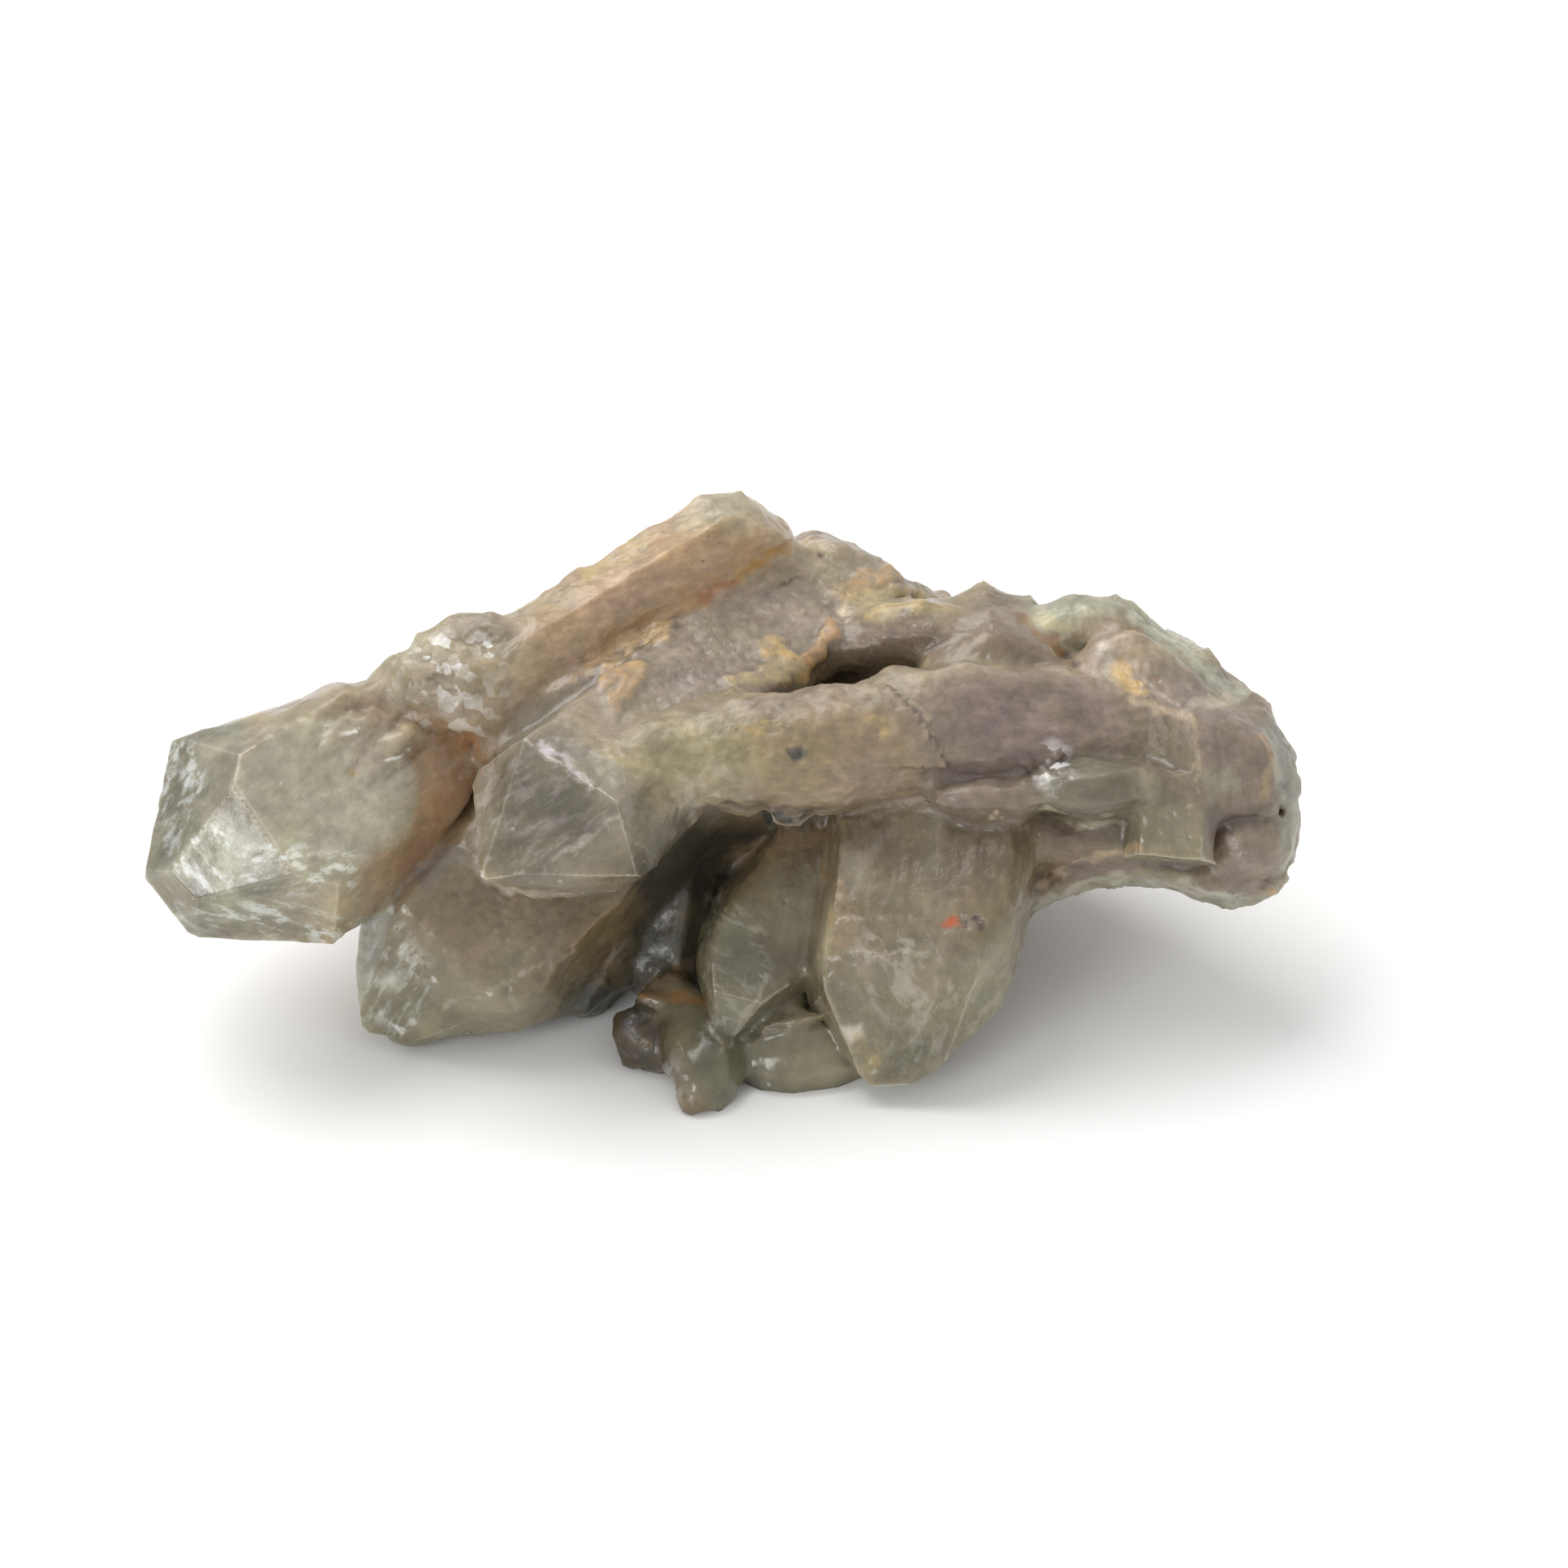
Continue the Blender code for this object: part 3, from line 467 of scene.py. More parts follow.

# %% [markdown]
# ## Stains, clouds, crusts, clear patches and painted light
# Water that carried iron ran along the gaps between the crystals and left yellow, orange and brown
# stains, and here and there a thin ochre crust. Inside the points lie white clouds of tiny bubbles,
# with sharp borders where a crystal face ends. Some marks are painted light instead: dark clouds
# and lines are painted shade in recesses and under crystals, and a few white lines are painted
# highlights. Each mark is a patch or a line on the front, in millimetres across and up, so it is
# found again on any copy of the model.
# A "face" is a patch with a sharp border, and a "cloud" one with a frayed border. A "line" is a
# stain, a painted shade or a painted highlight along its places. A "crust" is a stain that stands
# up. A "ridge" stands up too, but it has the crystal's own colour, a little changed.

# %% Marks: kind, colour, strength, clearness, border width, places
MARKS = [
    # left point: silvery clear facets round the tip, a milky middle, warm brown behind
    ("face", "#A9A99A", 0.8, 0.75, 1.0,
     [(-58, 6), (-49, 9), (-49.5, 4), (-50.5, 1), (-46, -5.5), (-44, -8.5), (-52, -11), (-60, -9)]),
    ("face", "#BBB9A8", 0.95, 0.12, 0.8,
     [(-50.3, 1.3), (-49.3, 4.4), (-43.3, 8.6), (-34.4, 7.6), (-31.4, 2.1), (-32.2, -3.8), (-37.4, -7),
     (-43.8, -7.9), (-46, -5.2)]),
    ("cloud", "#9E9885", 0.75, 0.25, 1.6, [(-49.3, 5), (-43.3, 11.5), (-36, 12), (-38, 8.4), (-43, 8.6)]),
    ("cloud", "#A8957F", 0.75, 0.1, 1.6, [(-42, 11.6), (-36, 12.6), (-33, 11.5), (-34.6, 8.6), (-38, 9)]),
    ("cloud", "#A2876A", 0.85, 0.05, 2.4,
     [(-37, 9), (-30, 8.6), (-24.5, 5.5), (-27, -1), (-33, -8), (-37.5, -12.5), (-36.5, -7), (-32, -3),
     (-31.5, 3)]),
    ("line", "#8B6A4C", 0.75, 0.05, 2.2, [(-26.2, 3.2), (-29.5, -2), (-32.6, -6.8)]),
    ("line", "#9C7650", 0.6, 0.05, 2.4, [(-31, 8), (-27, 6)]),
    ("cloud", "#C3B69A", 0.8, 0.2, 1.5,
     [(-39, -9), (-36.5, -9.5), (-37.5, -13), (-41, -14.6), (-40.6, -10.5)]),
    ("face", "#B3B4A6", 0.8, 0.45, 0.5,
     [(-56.4, -6.9), (-54.2, -3.4), (-51.9, -1.6), (-50.4, -4.2), (-49.2, -8.6), (-51.2, -9.8),
     (-52.6, -9.6)]),
    ("cloud", "#BDBDAF", 0.8, 0.4, 1.2,
     [(-52, -1.4), (-49.6, -2.4), (-45.2, -7.4), (-45, -8.4), (-50.4, -9.6)]),
    ("cloud", "#B5B5A6", 0.7, 0.3, 0.9,
     [(-45.6, -5.6), (-41.1, -5.9), (-37.8, -7.2), (-39.2, -8.7), (-43.4, -8.3)]),
    ("cloud", "#B4B4A5", 0.7, 0.4, 0.8,
     [(-54.9, -11.1), (-49.1, -10.4), (-45.8, -11.6), (-49.3, -13.2), (-52.3, -12.6)]),
    ("face", "#7E765F", 0.9, 0.35, 0.5,
     [(-59.8, -8.7), (-57.2, -7.6), (-53, -10.6), (-56.2, -12.4), (-59.4, -10.6)]),
    ("ridge", "#B8AD9C", 0.7, 0.2, 1.5, [(-40, 6.3), (-37.8, 7.8)]),
    ("ridge", "#B2A693", 0.6, 0.2, 1.6, [(-38, 4.9), (-35.2, 7.8)]),
    ("ridge", "#B8AD9C", 0.7, 0.2, 1.9, [(-36.4, 4), (-32, 6.6)]),
    # painted highlights: two white lines for the glints along the lower edges of the finger ridges
    ("line", "#E4E3DA", 0.9, 0.1, 0.3, [(-39.4, 6.2), (-38, 7.3)]),
    ("line", "#E4E3DA", 0.9, 0.1, 0.3, [(-35, 3.8), (-32.8, 5.4)]),
    ("line", "#B07A4A", 0.9, 0.0, 1.4, [(-26.5, 5.8)]),
    ("line", "#B79A5C", 0.6, 0.1, 0.9, [(-38.2, 2.8)]),
    # upper left crystal: sparkling end, tan shaft with a yellow upper edge, pale peak
    ("cloud", "#B0A18E", 0.8, 0.35, 1.5,
     [(-34.5, 12.5), (-28, 19.5), (-21, 19), (-20, 14), (-25, 5.5), (-31, 8)]),
    ("cloud", "#B79D83", 0.8, 0.05, 2.0,
     [(-21, 19), (-8, 27), (-3, 28), (6, 27), (-2, 21), (-14, 14), (-20, 10)]),
    ("line", "#A07F58", 0.7, 0.0, 2.4, [(-13, 15), (-4, 20.5), (3.5, 25.2)]),
    ("line", "#BBA878", 0.75, 0.05, 1.8, [(-14, 23.6), (-8, 26.8)]),
    ("line", "#AD8558", 0.5, 0.0, 1.0, [(-7.5, 26), (-5, 27.6)]),
    ("cloud", "#BFB8A4", 0.85, 0.3, 1.8, [(-4.5, 29.5), (-2, 32.5), (1.5, 33), (5, 29.5), (0, 28.4)]),
    ("line", "#B08A50", 0.9, 0.0, 0.9, [(8.5, 27.4), (4, 24.8), (0.6, 22.6)]),
    ("line", "#9A6840", 0.85, 0.0, 0.8, [(0.6, 22.6), (-3, 20.4)]),
    ("line", "#AE8D5C", 0.6, 0.0, 0.9, [(-3, 20.4), (-9, 16.8), (-16, 12.4)]),
    # middle point: clear window at the tip, lilac fibrous face with ochre ledges
    ("cloud", "#9A8E82", 0.7, 0.02, 3.0,
     [(-16, 10), (8, 27), (16, 24), (20, 20), (6, 13), (-4, 7), (-12, 6)]),
    ("cloud", "#ACA38B", 0.6, 0.1, 2.4, [(7, 27), (14, 26), (20, 20.4), (14, 18), (11, 22)]),
    ("crust", "#BE9C62", 0.8, 0.0, 1.3, [(-9.6, 15.9), (-6.2, 17.2)]),
    ("crust", "#B99A6C", 0.8, 0.0, 1.5, [(-12, 12.8), (-9, 13), (-10.4, 11), (-11.2, 10)]),
    ("crust", "#BC9D60", 0.85, 0.0, 1.7, [(5, 15.2), (7.6, 13.2)]),
    ("crust", "#B38C5A", 0.8, 0.0, 1.2, [(11, 17.8), (10, 15.8), (8.4, 14)]),
    ("crust", "#B5A273", 0.75, 0.0, 1.6, [(0.8, 11.6), (3.4, 12.6), (6.4, 12.8)]),
    ("crust", "#B39E70", 0.7, 0.0, 2.4, [(13.6, 21), (17, 20), (19.5, 20.6)]),
    ("crust", "#AE8B5A", 0.7, 0.0, 1.5, [(11.8, 21.4), (14.4, 22.6), (18, 23.6)]),
    ("line", "#CDB99F", 1.0, 0.0, 1.0, [(12.5, 19.4)]),
    ("line", "#6A4640", 0.95, 0.0, 0.55, [(9.5, 25.3)]),
    ("face", "#857C70", 0.8, 0.7, 1.0, [(-24.6, 3), (-18.6, 6.6), (-11, -1), (-17.5, -6.6), (-25.4, -7)]),
    ("face", "#9C958A", 0.8, 0.35, 0.5,
     [(-18.7, 6.3), (-16.9, 6.9), (-7.7, 1.7), (-8.4, -0.8), (-10.4, -1.1)]),
    ("line", "#D2CCCE", 0.9, 0.1, 0.5, [(-18.6, 5.8), (-13.6, 1.7)]),
    ("cloud", "#978D7E", 0.7, 0.3, 1.4,
     [(-10, -1.4), (-4, 0), (-1.8, -2), (-7, -6), (-14, -9.6), (-17, -6.8)]),
    ("line", "#B9B2A4", 0.7, 0.2, 0.4, [(-10.4, -1.25), (-17.5, -6.4)]),
    ("line", "#ABA18F", 0.8, 0.3, 0.7, [(-25.8, -7.2), (-22.6, -9.4), (-16, -9.9)]),
    ("line", "#A79F92", 0.7, 0.4, 1.1, [(-24, 2.75), (-25.5, -2.8), (-26, -6.6)]),
    ("cloud", "#A9A59E", 0.6, 0.3, 1.0, [(-24, -1.4), (-21, -2.4), (-18, -2.2), (-20, -3.6), (-24, -3)]),
    # front crystal: yellow-grey left end, tan middle, lilac-brown right half
    ("cloud", "#AAA07E", 0.75, 0.25, 1.8, [(-11, 5.6), (-7.5, 8.4), (2, 8.2), (5, 3), (0, 0), (-8, 0.6)]),
    ("cloud", "#9C896C", 0.7, 0.05, 2.6, [(2, 8), (12, 11), (19, 9), (20.5, 3), (12, -1), (4, -0.4)]),
    ("cloud", "#B6A88E", 0.7, 0.05, 1.6,
     [(8, 12.6), (16, 14.5), (28, 15), (38, 12.4), (28, 12.6), (16, 11.4)]),
    ("cloud", "#8E8078", 0.75, 0.0, 2.0,
     [(21.6, 11), (30, 12.4), (38, 10.6), (40, 6), (32, 3.4), (22, 2.6)]),
    ("cloud", "#9C8F80", 0.6, 0.05, 1.4, [(19, 9), (21.6, 11), (26, 7), (24, 3), (20, 3)]),
    ("line", "#B39C5C", 0.6, 0.0, 1.0, [(2.9, 7), (5.3, 7.5)]),
    ("line", "#B9A26A", 0.6, 0.0, 1.0, [(15.4, 8), (16.4, 7)]),
    ("line", "#C3B496", 0.6, 0.05, 0.5, [(18.3, 10.8), (20.4, 8.8), (21.4, 6.6)]),
    ("line", "#6E625B", 0.7, 0.0, 1.2, [(20.6, 2.2), (26, 3.2), (31.5, 4.4)]),
    ("line", "#1C272E", 1.0, 0.2, 0.9, [(7.1, 4.3), (8, 4.6)]),
    # painted shade: a dark line along the front crystal's lower edge, over the recess
    ("line", "#5B5045", 0.8, 0.1, 0.7, [(0, -0.6), (8, -1.6), (14, -1.6)]),
    ("line", "#2C3438", 1.0, 0.2, 0.7, [(4.6, -2), (7.8, -2.6), (9, -2.2)]),
    # hump behind it
    ("cloud", "#948677", 0.6, 0.0, 2.0,
     [(14, 18), (27, 22.4), (34, 18), (34, 14.4), (22, 14.6), (12, 13)]),
    ("cloud", "#B1A480", 0.7, 0.0, 1.8, [(13, 21), (20, 20.8), (26, 21.6), (24, 18.6), (16, 18.6)]),
    # painted shade: the dark slab under the middle point's end, above the front crystal
    ("cloud", "#5A4E40", 0.85, 0.0, 1.8, [(7, 13.4), (13, 15.6), (20, 14.8), (16, 12.6), (9, 12.2)]),
    # right group: pale green thin rims, brown crevices, lilac-grey faces
    ("cloud", "#C3C5B3", 0.9, 0.5, 1.0,
     [(31.2, 20.8), (36.9, 21.8), (41, 21), (42.8, 19), (38.6, 18.6), (35.6, 17.9), (34.7, 16.1),
     (31.7, 18.4)]),
    ("line", "#BCAE84", 0.7, 0.1, 1.6, [(31.8, 19), (34.7, 18)]),
    ("line", "#8E6846", 0.85, 0.0, 0.8, [(31, 18.8), (33.7, 16.4), (35.9, 14.2)]),
    ("line", "#54443A", 0.9, 0.0, 0.9, [(35.4, 14.8), (36.2, 13.8)]),
    ("cloud", "#A09084", 0.6, 0.0, 1.4, [(36, 18), (40, 18.4), (40.6, 13.6), (37, 13.4)]),
    ("line", "#CBC3B2", 0.7, 0.2, 1.2, [(39.2, 15.8), (40, 13)]),
    ("line", "#C2A266", 0.9, 0.0, 1.1, [(40.6, 14), (41.3, 12), (43, 11.2)]),
    ("line", "#AC7550", 0.8, 0.0, 0.6, [(44.3, 12.6)]),
    ("line", "#C2C2AF", 0.85, 0.5, 1.6, [(42.6, 18.8), (45.4, 17.2), (48, 16), (50, 13.6), (53, 11)]),
    ("line", "#C3B7A2", 0.9, 0.1, 0.8, [(47.9, 9.8), (50, 10.2), (52.7, 10.5)]),
    ("line", "#BEA98F", 0.8, 0.0, 0.9, [(42, 10.3), (44.7, 9.2), (47.4, 8.6)]),
    ("cloud", "#8A7F6F", 0.7, 0.1, 1.4, [(41, 9), (48, 8), (48.6, 0), (42, 0)]),
    ("cloud", "#93857C", 0.7, 0.0, 1.4, [(48.6, 8.4), (55, 8.8), (56, 0.4), (49, 0)]),
    ("line", "#766B62", 0.7, 0.0, 1.4, [(42.5, 4.2), (44.7, 3.4)]),
    ("line", "#B5A68C", 0.7, 0.1, 0.45, [(48.1, 8.3), (48.6, 1)]),
    ("cloud", "#B8B8AA", 0.8, 0.4, 1.0, [(49.4, 2.8), (52.2, 3), (52.4, 0.8), (50, 0.6)]),
    ("cloud", "#BFC4B7", 0.9, 0.5, 0.9,
     [(55.6, 8), (58.2, 7.8), (59.6, 5.6), (59.4, -8), (57.8, -7), (57.6, 2), (56.4, 4.6)]),
    ("line", "#AE854E", 0.8, 0.0, 0.7, [(55.6, 6.4), (56.3, 4.4)]),
    ("line", "#6A3524", 0.95, 0.0, 0.4, [(56.4, 4.6)]),
    ("line", "#AF9B75", 0.6, 0.1, 1.4, [(56.4, 3.4), (55.9, 0.6)]),
    # painted shade: the dark wedge under the lower edge of the right main mass
    ("face", "#6A5F57", 0.8, 0.0, 0.8, [(48.6, -1), (56.4, -0.6), (55, -2), (50.8, -4.3), (49.4, -4.6)]),
    ("cloud", "#95897C", 0.65, 0.1, 1.4, [(50, -5), (56.6, -1.4), (58, -8), (55, -9.4), (50, -8)]),
    ("line", "#AA875A", 0.8, 0.0, 1.0, [(56.7, -10)]),
    ("face", "#938D76", 0.7, 0.3, 0.6, [(42, -0.6), (49.2, -0.4), (49.4, -6.4), (42.4, -6)]),
    ("line", "#C4AB90", 0.9, 0.0, 0.5, [(47.5, -1)]),
    ("cloud", "#ADA795", 0.7, 0.2, 0.8, [(42, 3.2), (44.2, 3), (44.4, 0), (42.2, 0)]),
    ("cloud", "#726D5D", 0.75, 0.35, 1.0,
     [(33, 2), (36, 4.4), (42, 4), (42, -1.4), (36, -2), (33, -0.6)]),
    ("line", "#B1A88F", 0.8, 0.2, 0.6, [(33, -1.2), (36.1, -2.4), (41, -2.4)]),
    ("cloud", "#877A71", 0.7, 0.1, 1.0, [(22, 2.4), (32, 3), (33, -1), (26, -2.2), (21.4, 0)]),
    ("line", "#CDBEA0", 0.9, 0.1, 0.5, [(27.6, -1.8)]),
    # painted shade: a dark band under the rounded crystals
    ("cloud", "#695C51", 0.75, 0.0, 1.4, [(32, -1.8), (42, -3), (42, -4.2), (34, -5)]),
    ("line", "#BAA487", 0.8, 0.0, 0.9, [(32.2, -8.8), (36, -7), (38.6, -5.9), (42, -5.1)]),
    ("line", "#7A6F68", 0.8, 0.0, 1.1, [(36, -7.6), (38.6, -7), (43.5, -6.4), (48.4, -7.2)]),
    ("line", "#B9B7A8", 0.8, 0.4, 1.2,
     [(32, -11.2), (37, -9.4), (41, -8.3), (47.4, -9.5), (53.2, -10.5)]),
    # lower right point: pale left strip, white veils, orange spot
    # painted shade: the top of the lower right point, where the front crystal shades it
    ("cloud", "#6F614E", 0.75, 0.05, 2.4, [(10, -2), (32, -2), (31, -5), (24, -8.6), (12, -8)]),
    ("face", "#ACA48B", 0.8, 0.5, 0.6,
     [(10.5, -10), (9, -16.2), (12, -24.3), (14, -29.6), (15.8, -29.6), (12.8, -25.2), (10.2, -18.9),
     (11.1, -11.5)]),
    ("line", "#BBB3A1", 0.8, 0.2, 0.35, [(9.3, -15.9), (15, -15.7), (20.9, -15.7)]),
    ("line", "#A08A6C", 0.6, 0.1, 2.4, [(10.5, -7.3), (12.2, -14)]),
    ("line", "#956A3C", 0.7, 0.0, 0.6, [(10.4, -7.5)]),
    ("cloud", "#9D9482", 0.6, 0.3, 1.2,
     [(12.5, -15.9), (22.1, -15.1), (22.7, -18.6), (18.8, -24), (17.3, -23.4), (15.8, -21),
     (13.1, -19.8)]),
    ("face", "#DBD7CC", 0.95, 0.1, 0.5, [(11.9, -23.4), (14, -23.1), (14.3, -24.3), (12.8, -25.2)]),
    ("line", "#AD9A68", 0.6, 0.2, 2.2, [(14.6, -25), (15.2, -26.4)]),
    ("cloud", "#9A9180", 0.6, 0.2, 1.2, [(20.6, -1.6), (22.4, -1.6), (22.2, -11.3), (20, -11.5)]),
    ("cloud", "#918B76", 0.7, 0.7, 1.0,
     [(15.6, -26), (21, -24.4), (26, -23.2), (24, -26), (19, -29.2), (15.8, -29.4)]),
    ("cloud", "#B0A997", 0.7, 0.3, 1.2, [(12, -6), (14.4, -5.6), (15, -9), (12.6, -10)]),
    ("cloud", "#857B66", 0.6, 0.4, 1.4, [(15.6, -9), (19, -8.6), (19.4, -11.6), (16, -12)]),
    ("line", "#C05F35", 1.0, 0.0, 1.2, [(23.4, -12.4), (23.9, -12.6)]),
    ("line", "#43303A", 1.0, 0.0, 0.55, [(25, -12.4), (24.9, -13.1)]),
    ("line", "#43303A", 1.0, 0.0, 0.55, [(25.8, -12.4), (25.9, -13.1)]),
    ("cloud", "#A8A58C", 0.75, 0.5, 1.6,
     [(27, -15), (31, -13), (30.4, -18), (28.4, -21.6), (24, -22), (25, -17)]),
    # lower middle points and the small one below
    ("face", "#7E7B68", 0.8, 0.5, 0.8, [(-2, -13), (2, -12), (5, -18), (0.4, -25.4), (-1.6, -23.2)]),
    ("line", "#A6A292", 0.8, 0.3, 0.45, [(0, -9), (-2, -13.8), (-1.5, -23.2), (-0.2, -25.6)]),
    ("line", "#A9A393", 0.7, 0.3, 0.4, [(4.5, -18.4), (0.2, -25.4)]),
    ("cloud", "#A0977F", 0.85, 0.2, 1.6, [(4.6, -9), (10.6, -7), (10.4, -14), (6.4, -15)]),
    ("cloud", "#6E6556", 0.75, 0.2, 1.2, [(5, -16), (9, -15), (9.6, -21), (5, -20.6)]),
    ("line", "#90795E", 0.7, 0.0, 1.6, [(0.6, -6.1), (5, -4.6), (10.5, -3.4)]),
    ("line", "#23252B", 1.0, 0.1, 0.75, [(-0.3, -7.9), (-0.1, -8.5)]),
    ("line", "#938A76", 0.8, 0.1, 1.0, [(6.3, -22.5), (10.2, -21.5)]),
    ("line", "#655D51", 0.8, 0.1, 0.5, [(1.5, -24.3), (6.3, -23.4)]),
    # recess, knob and claw: the near-black and dark grey clouds and lines in the recess are painted shade,
    # and the knob's dark brown is partly its own colour, partly painted shade
    ("cloud", "#322F2C", 0.9, 0.1, 1.8,
     [(-3.8, -1.8), (6.3, -3), (0.6, -6), (-1, -10.9), (-7.4, -12.1), (-11, -8.6)]),
    ("cloud", "#45453D", 0.9, 0.1, 1.0,
     [(-9, -13), (-3, -12.6), (-2.6, -16), (-6, -18.8), (-9.6, -18.8)]),
    ("line", "#8A745A", 0.7, 0.1, 1.5, [(-5.9, -18.8), (-2.9, -16.2)]),
    ("line", "#3A3D38", 0.8, 0.2, 0.6, [(-4.1, -16)]),
    ("line", "#3F4244", 0.8, 0.2, 2.6, [(-14, -21), (-10, -22)]),
    ("cloud", "#4A3F2C", 0.8, 0.0, 1.2,
     [(-11.4, -22.2), (-5.6, -22.4), (-5, -28), (-8, -29.6), (-11.6, -27)]),
    ("line", "#77592F", 0.6, 0.1, 1.9, [(-8.6, -24.9)]),
    ("line", "#997249", 0.8, 0.1, 1.1, [(-8.3, -20.4), (-5, -20.2), (-2.6, -20.8)]),
    # lower left point
    ("face", "#B3B5AE", 0.9, 0.5, 0.5,
     [(-37.6, -12.4), (-34.4, -11.4), (-35.4, -15.4), (-37.7, -21.8), (-39, -22.8), (-38.4, -17.4)]),
    ("line", "#7F7A6B", 0.7, 0.3, 0.4, [(-33.3, -9), (-37.7, -21.5)]),
    ("cloud", "#8B7C69", 0.75, 0.1, 2.2,
     [(-33, -8), (-26, -6), (-16, -10), (-13, -14), (-18, -17), (-28, -16), (-33, -13)]),
    ("cloud", "#78694F", 0.7, 0.0, 2.0, [(-18, -10), (-10, -6), (-9, -12), (-11, -19), (-16, -17)]),
    ("cloud", "#969178", 0.7, 0.5, 1.8, [(-37, -20), (-24, -19), (-20, -21), (-28, -26.4), (-36, -25)]),
    ("cloud", "#7B7560", 0.6, 0.5, 1.4, [(-24, -15.4), (-20.4, -15), (-20, -17.4), (-23.6, -17.8)]),
    ("line", "#ACA594", 0.7, 0.3, 0.4, [(-29.2, -21.5), (-22.6, -19), (-19, -17)]),
    ("line", "#ACA594", 0.7, 0.3, 0.4, [(-22.6, -19), (-21.5, -21.5)]),
    ("line", "#716B68", 0.7, 0.1, 1.5, [(-31, -8), (-28, -5.4)]),
    ("line", "#63392C", 0.9, 0.0, 0.4, [(-16.2, -15.7)]),
    ("cloud", "#C9CCC4", 0.8, 0.3, 0.9, [(-35, -17.6), (-33.4, -17.6), (-33.4, -19.4), (-35.2, -19.4)]),
]
print(len(MARKS), "marks")

# %% [markdown]
# ## Silvery veils and specks
# Healed cracks inside a clear point look like silvery veils; that silvery light is painted into the
# colour, as painted reflections. Their small flecks all lie one way, so each veil has a heading, and
# the flecks a length along it and a width across it. Dark specks are single grains of dark mineral.
# White specks are partly grains of white mineral and partly painted glints.

# %% Veils: heading in degrees, length and width of a fleck, strength, colour, places
VEILS = [
    (60, 2.2, 1.1, 1.0, "#E6E9E2", [(-58, 7.6), (-54.6, 7), (-53, 1), (-56.4, -6.4), (-59.4, -5)]),
    (-52, 3.4, 1.5, 1.0, "#EFF1EC",
     [(-56.8, -6.9), (-53.9, -2.6), (-50.6, -2.6), (-49.4, -9.8), (-53, -10.2)]),
    (12, 2.4, 1.2, 0.9, "#E2E4DB",
     [(-51, -5), (-45.6, -4.4), (-37.6, -5.4), (-38, -9), (-44, -9.6), (-51, -10)]),
    (-18, 3.2, 1.1, 0.9, "#E4E6DE", [(-56.4, -11), (-46, -10.2), (-38, -12.8), (-38, -15), (-56, -13)]),
    (35, 3.0, 1.2, 0.5, "#C6BDB8", [(-25, 3), (-18, 6), (-11, -1), (-17, -6), (-25, -7)]),
    (-60, 3.0, 1.8, 0.6, "#BEB5A8",
     [(14.6, -13.4), (22, -14), (22.2, -18.6), (20.8, -24), (17.4, -24), (12, -17.4)]),
    (70, 2.6, 1.1, 0.6, "#B4AF9E", [(16, -24.4), (27, -15), (29, -20), (24, -27), (18, -29)]),
    (60, 2.8, 1.0, 0.7, "#C9CBC2", [(-38, -12), (-33, -13), (-30, -19), (-33, -25), (-37.4, -23)]),
    (-30, 2.6, 1.0, 0.5, "#B3B0A0", [(-2, -10), (4, -12), (5, -20), (0.4, -25.4), (-1.6, -22)]),
]
# white specks: grains of white mineral, and painted glints on broken places and clear points
WHITE_SPECKS_AND_GLINTS = [
    (-32.8, -15.9, 0.5), (-30, -18.6, 0.7), (-33, -19.2, 0.4), (-32.3, -23, 0.9), (-35.6, -22.2, 0.5),
    (-36.8, -19, 0.4), (-26.6, -24.3, 0.5), (-33, -11.4, 0.4), (-25.6, -1.9, 0.6), (-21.5, -3, 0.4),
    (-19.8, -8.4, 0.4), (-16.7, -8.4, 0.5), (-15.2, 6.9, 0.4), (-10.3, 6.2, 0.4), (-6.6, 4, 0.4),
    (0.2, 5.6, 0.3), (6.3, -10.3, 0.6), (3.6, -18.3, 0.4), (0.6, -22.5, 0.4), (2.9, -23.4, 0.4),
    (5.1, -19.2, 0.4), (24.2, -19.2, 0.4), (20.2, -11.6, 0.4), (14.8, -12.4, 0.5), (19.5, -26.9, 0.4),
    (15.2, -28, 0.5), (-4, -28.6, 0.7), (4.5, -29.4, 0.5), (32.5, 3.2, 0.6), (33.2, 4, 0.6),
    (33.8, 4.9, 0.5), (34.4, 2, 0.5), (35.4, 2.3, 0.5), (33, 2.4, 0.6), (50.8, 3.4, 0.3),
    (-45.3, 1.6, 0.3), (-43, 0.4, 0.3), (-37.2, -0.2, 0.3), (32.2, -3.6, 0.4), (28.6, -1.8, 0.4),
    (44.9, 12.4, 0.3),
]
DARK_SPECKS = [
    (6.6, 15.9, 0.3), (-4.7, 8.2, 0.3), (1.2, 7.1, 0.3), (-50.7, -8.2, 0.4), (-36.2, 7.6, 0.3),
    (-20.7, -16.9, 0.4), (-2.4, 24.6, 0.3), (-8.8, 22.6, 0.3), (-41.9, 0, 0.3),
]
SPECK_COLOURS = {"#DEDCD4": WHITE_SPECKS_AND_GLINTS, "#4A423C": DARK_SPECKS}
print(len(VEILS), "veils,", len(WHITE_SPECKS_AND_GLINTS) + len(DARK_SPECKS), "specks")

# %% [markdown]
# ## Lay the marks on the crystals
# A mark reaches only what looks to the front. A noise pushes the places about first, which frays
# the borders. Such a noise starts from the clock unless it has a seed, which keeps every run the
# same. Clouds, the painted shade among them, change the crystal's colour. Stains, painted shade
# lines, painted highlights and painted glints are kept apart from it, because the material lays
# them over the top.

# %% Where a mark falls
NOISE_SEED = 5
noise.seed_set(NOISE_SEED)
FRAY_SIZE = 1.8
FRAY_PUSH = 0.7
TURNED_AWAY = -0.05
TURNED_FADE = 0.3


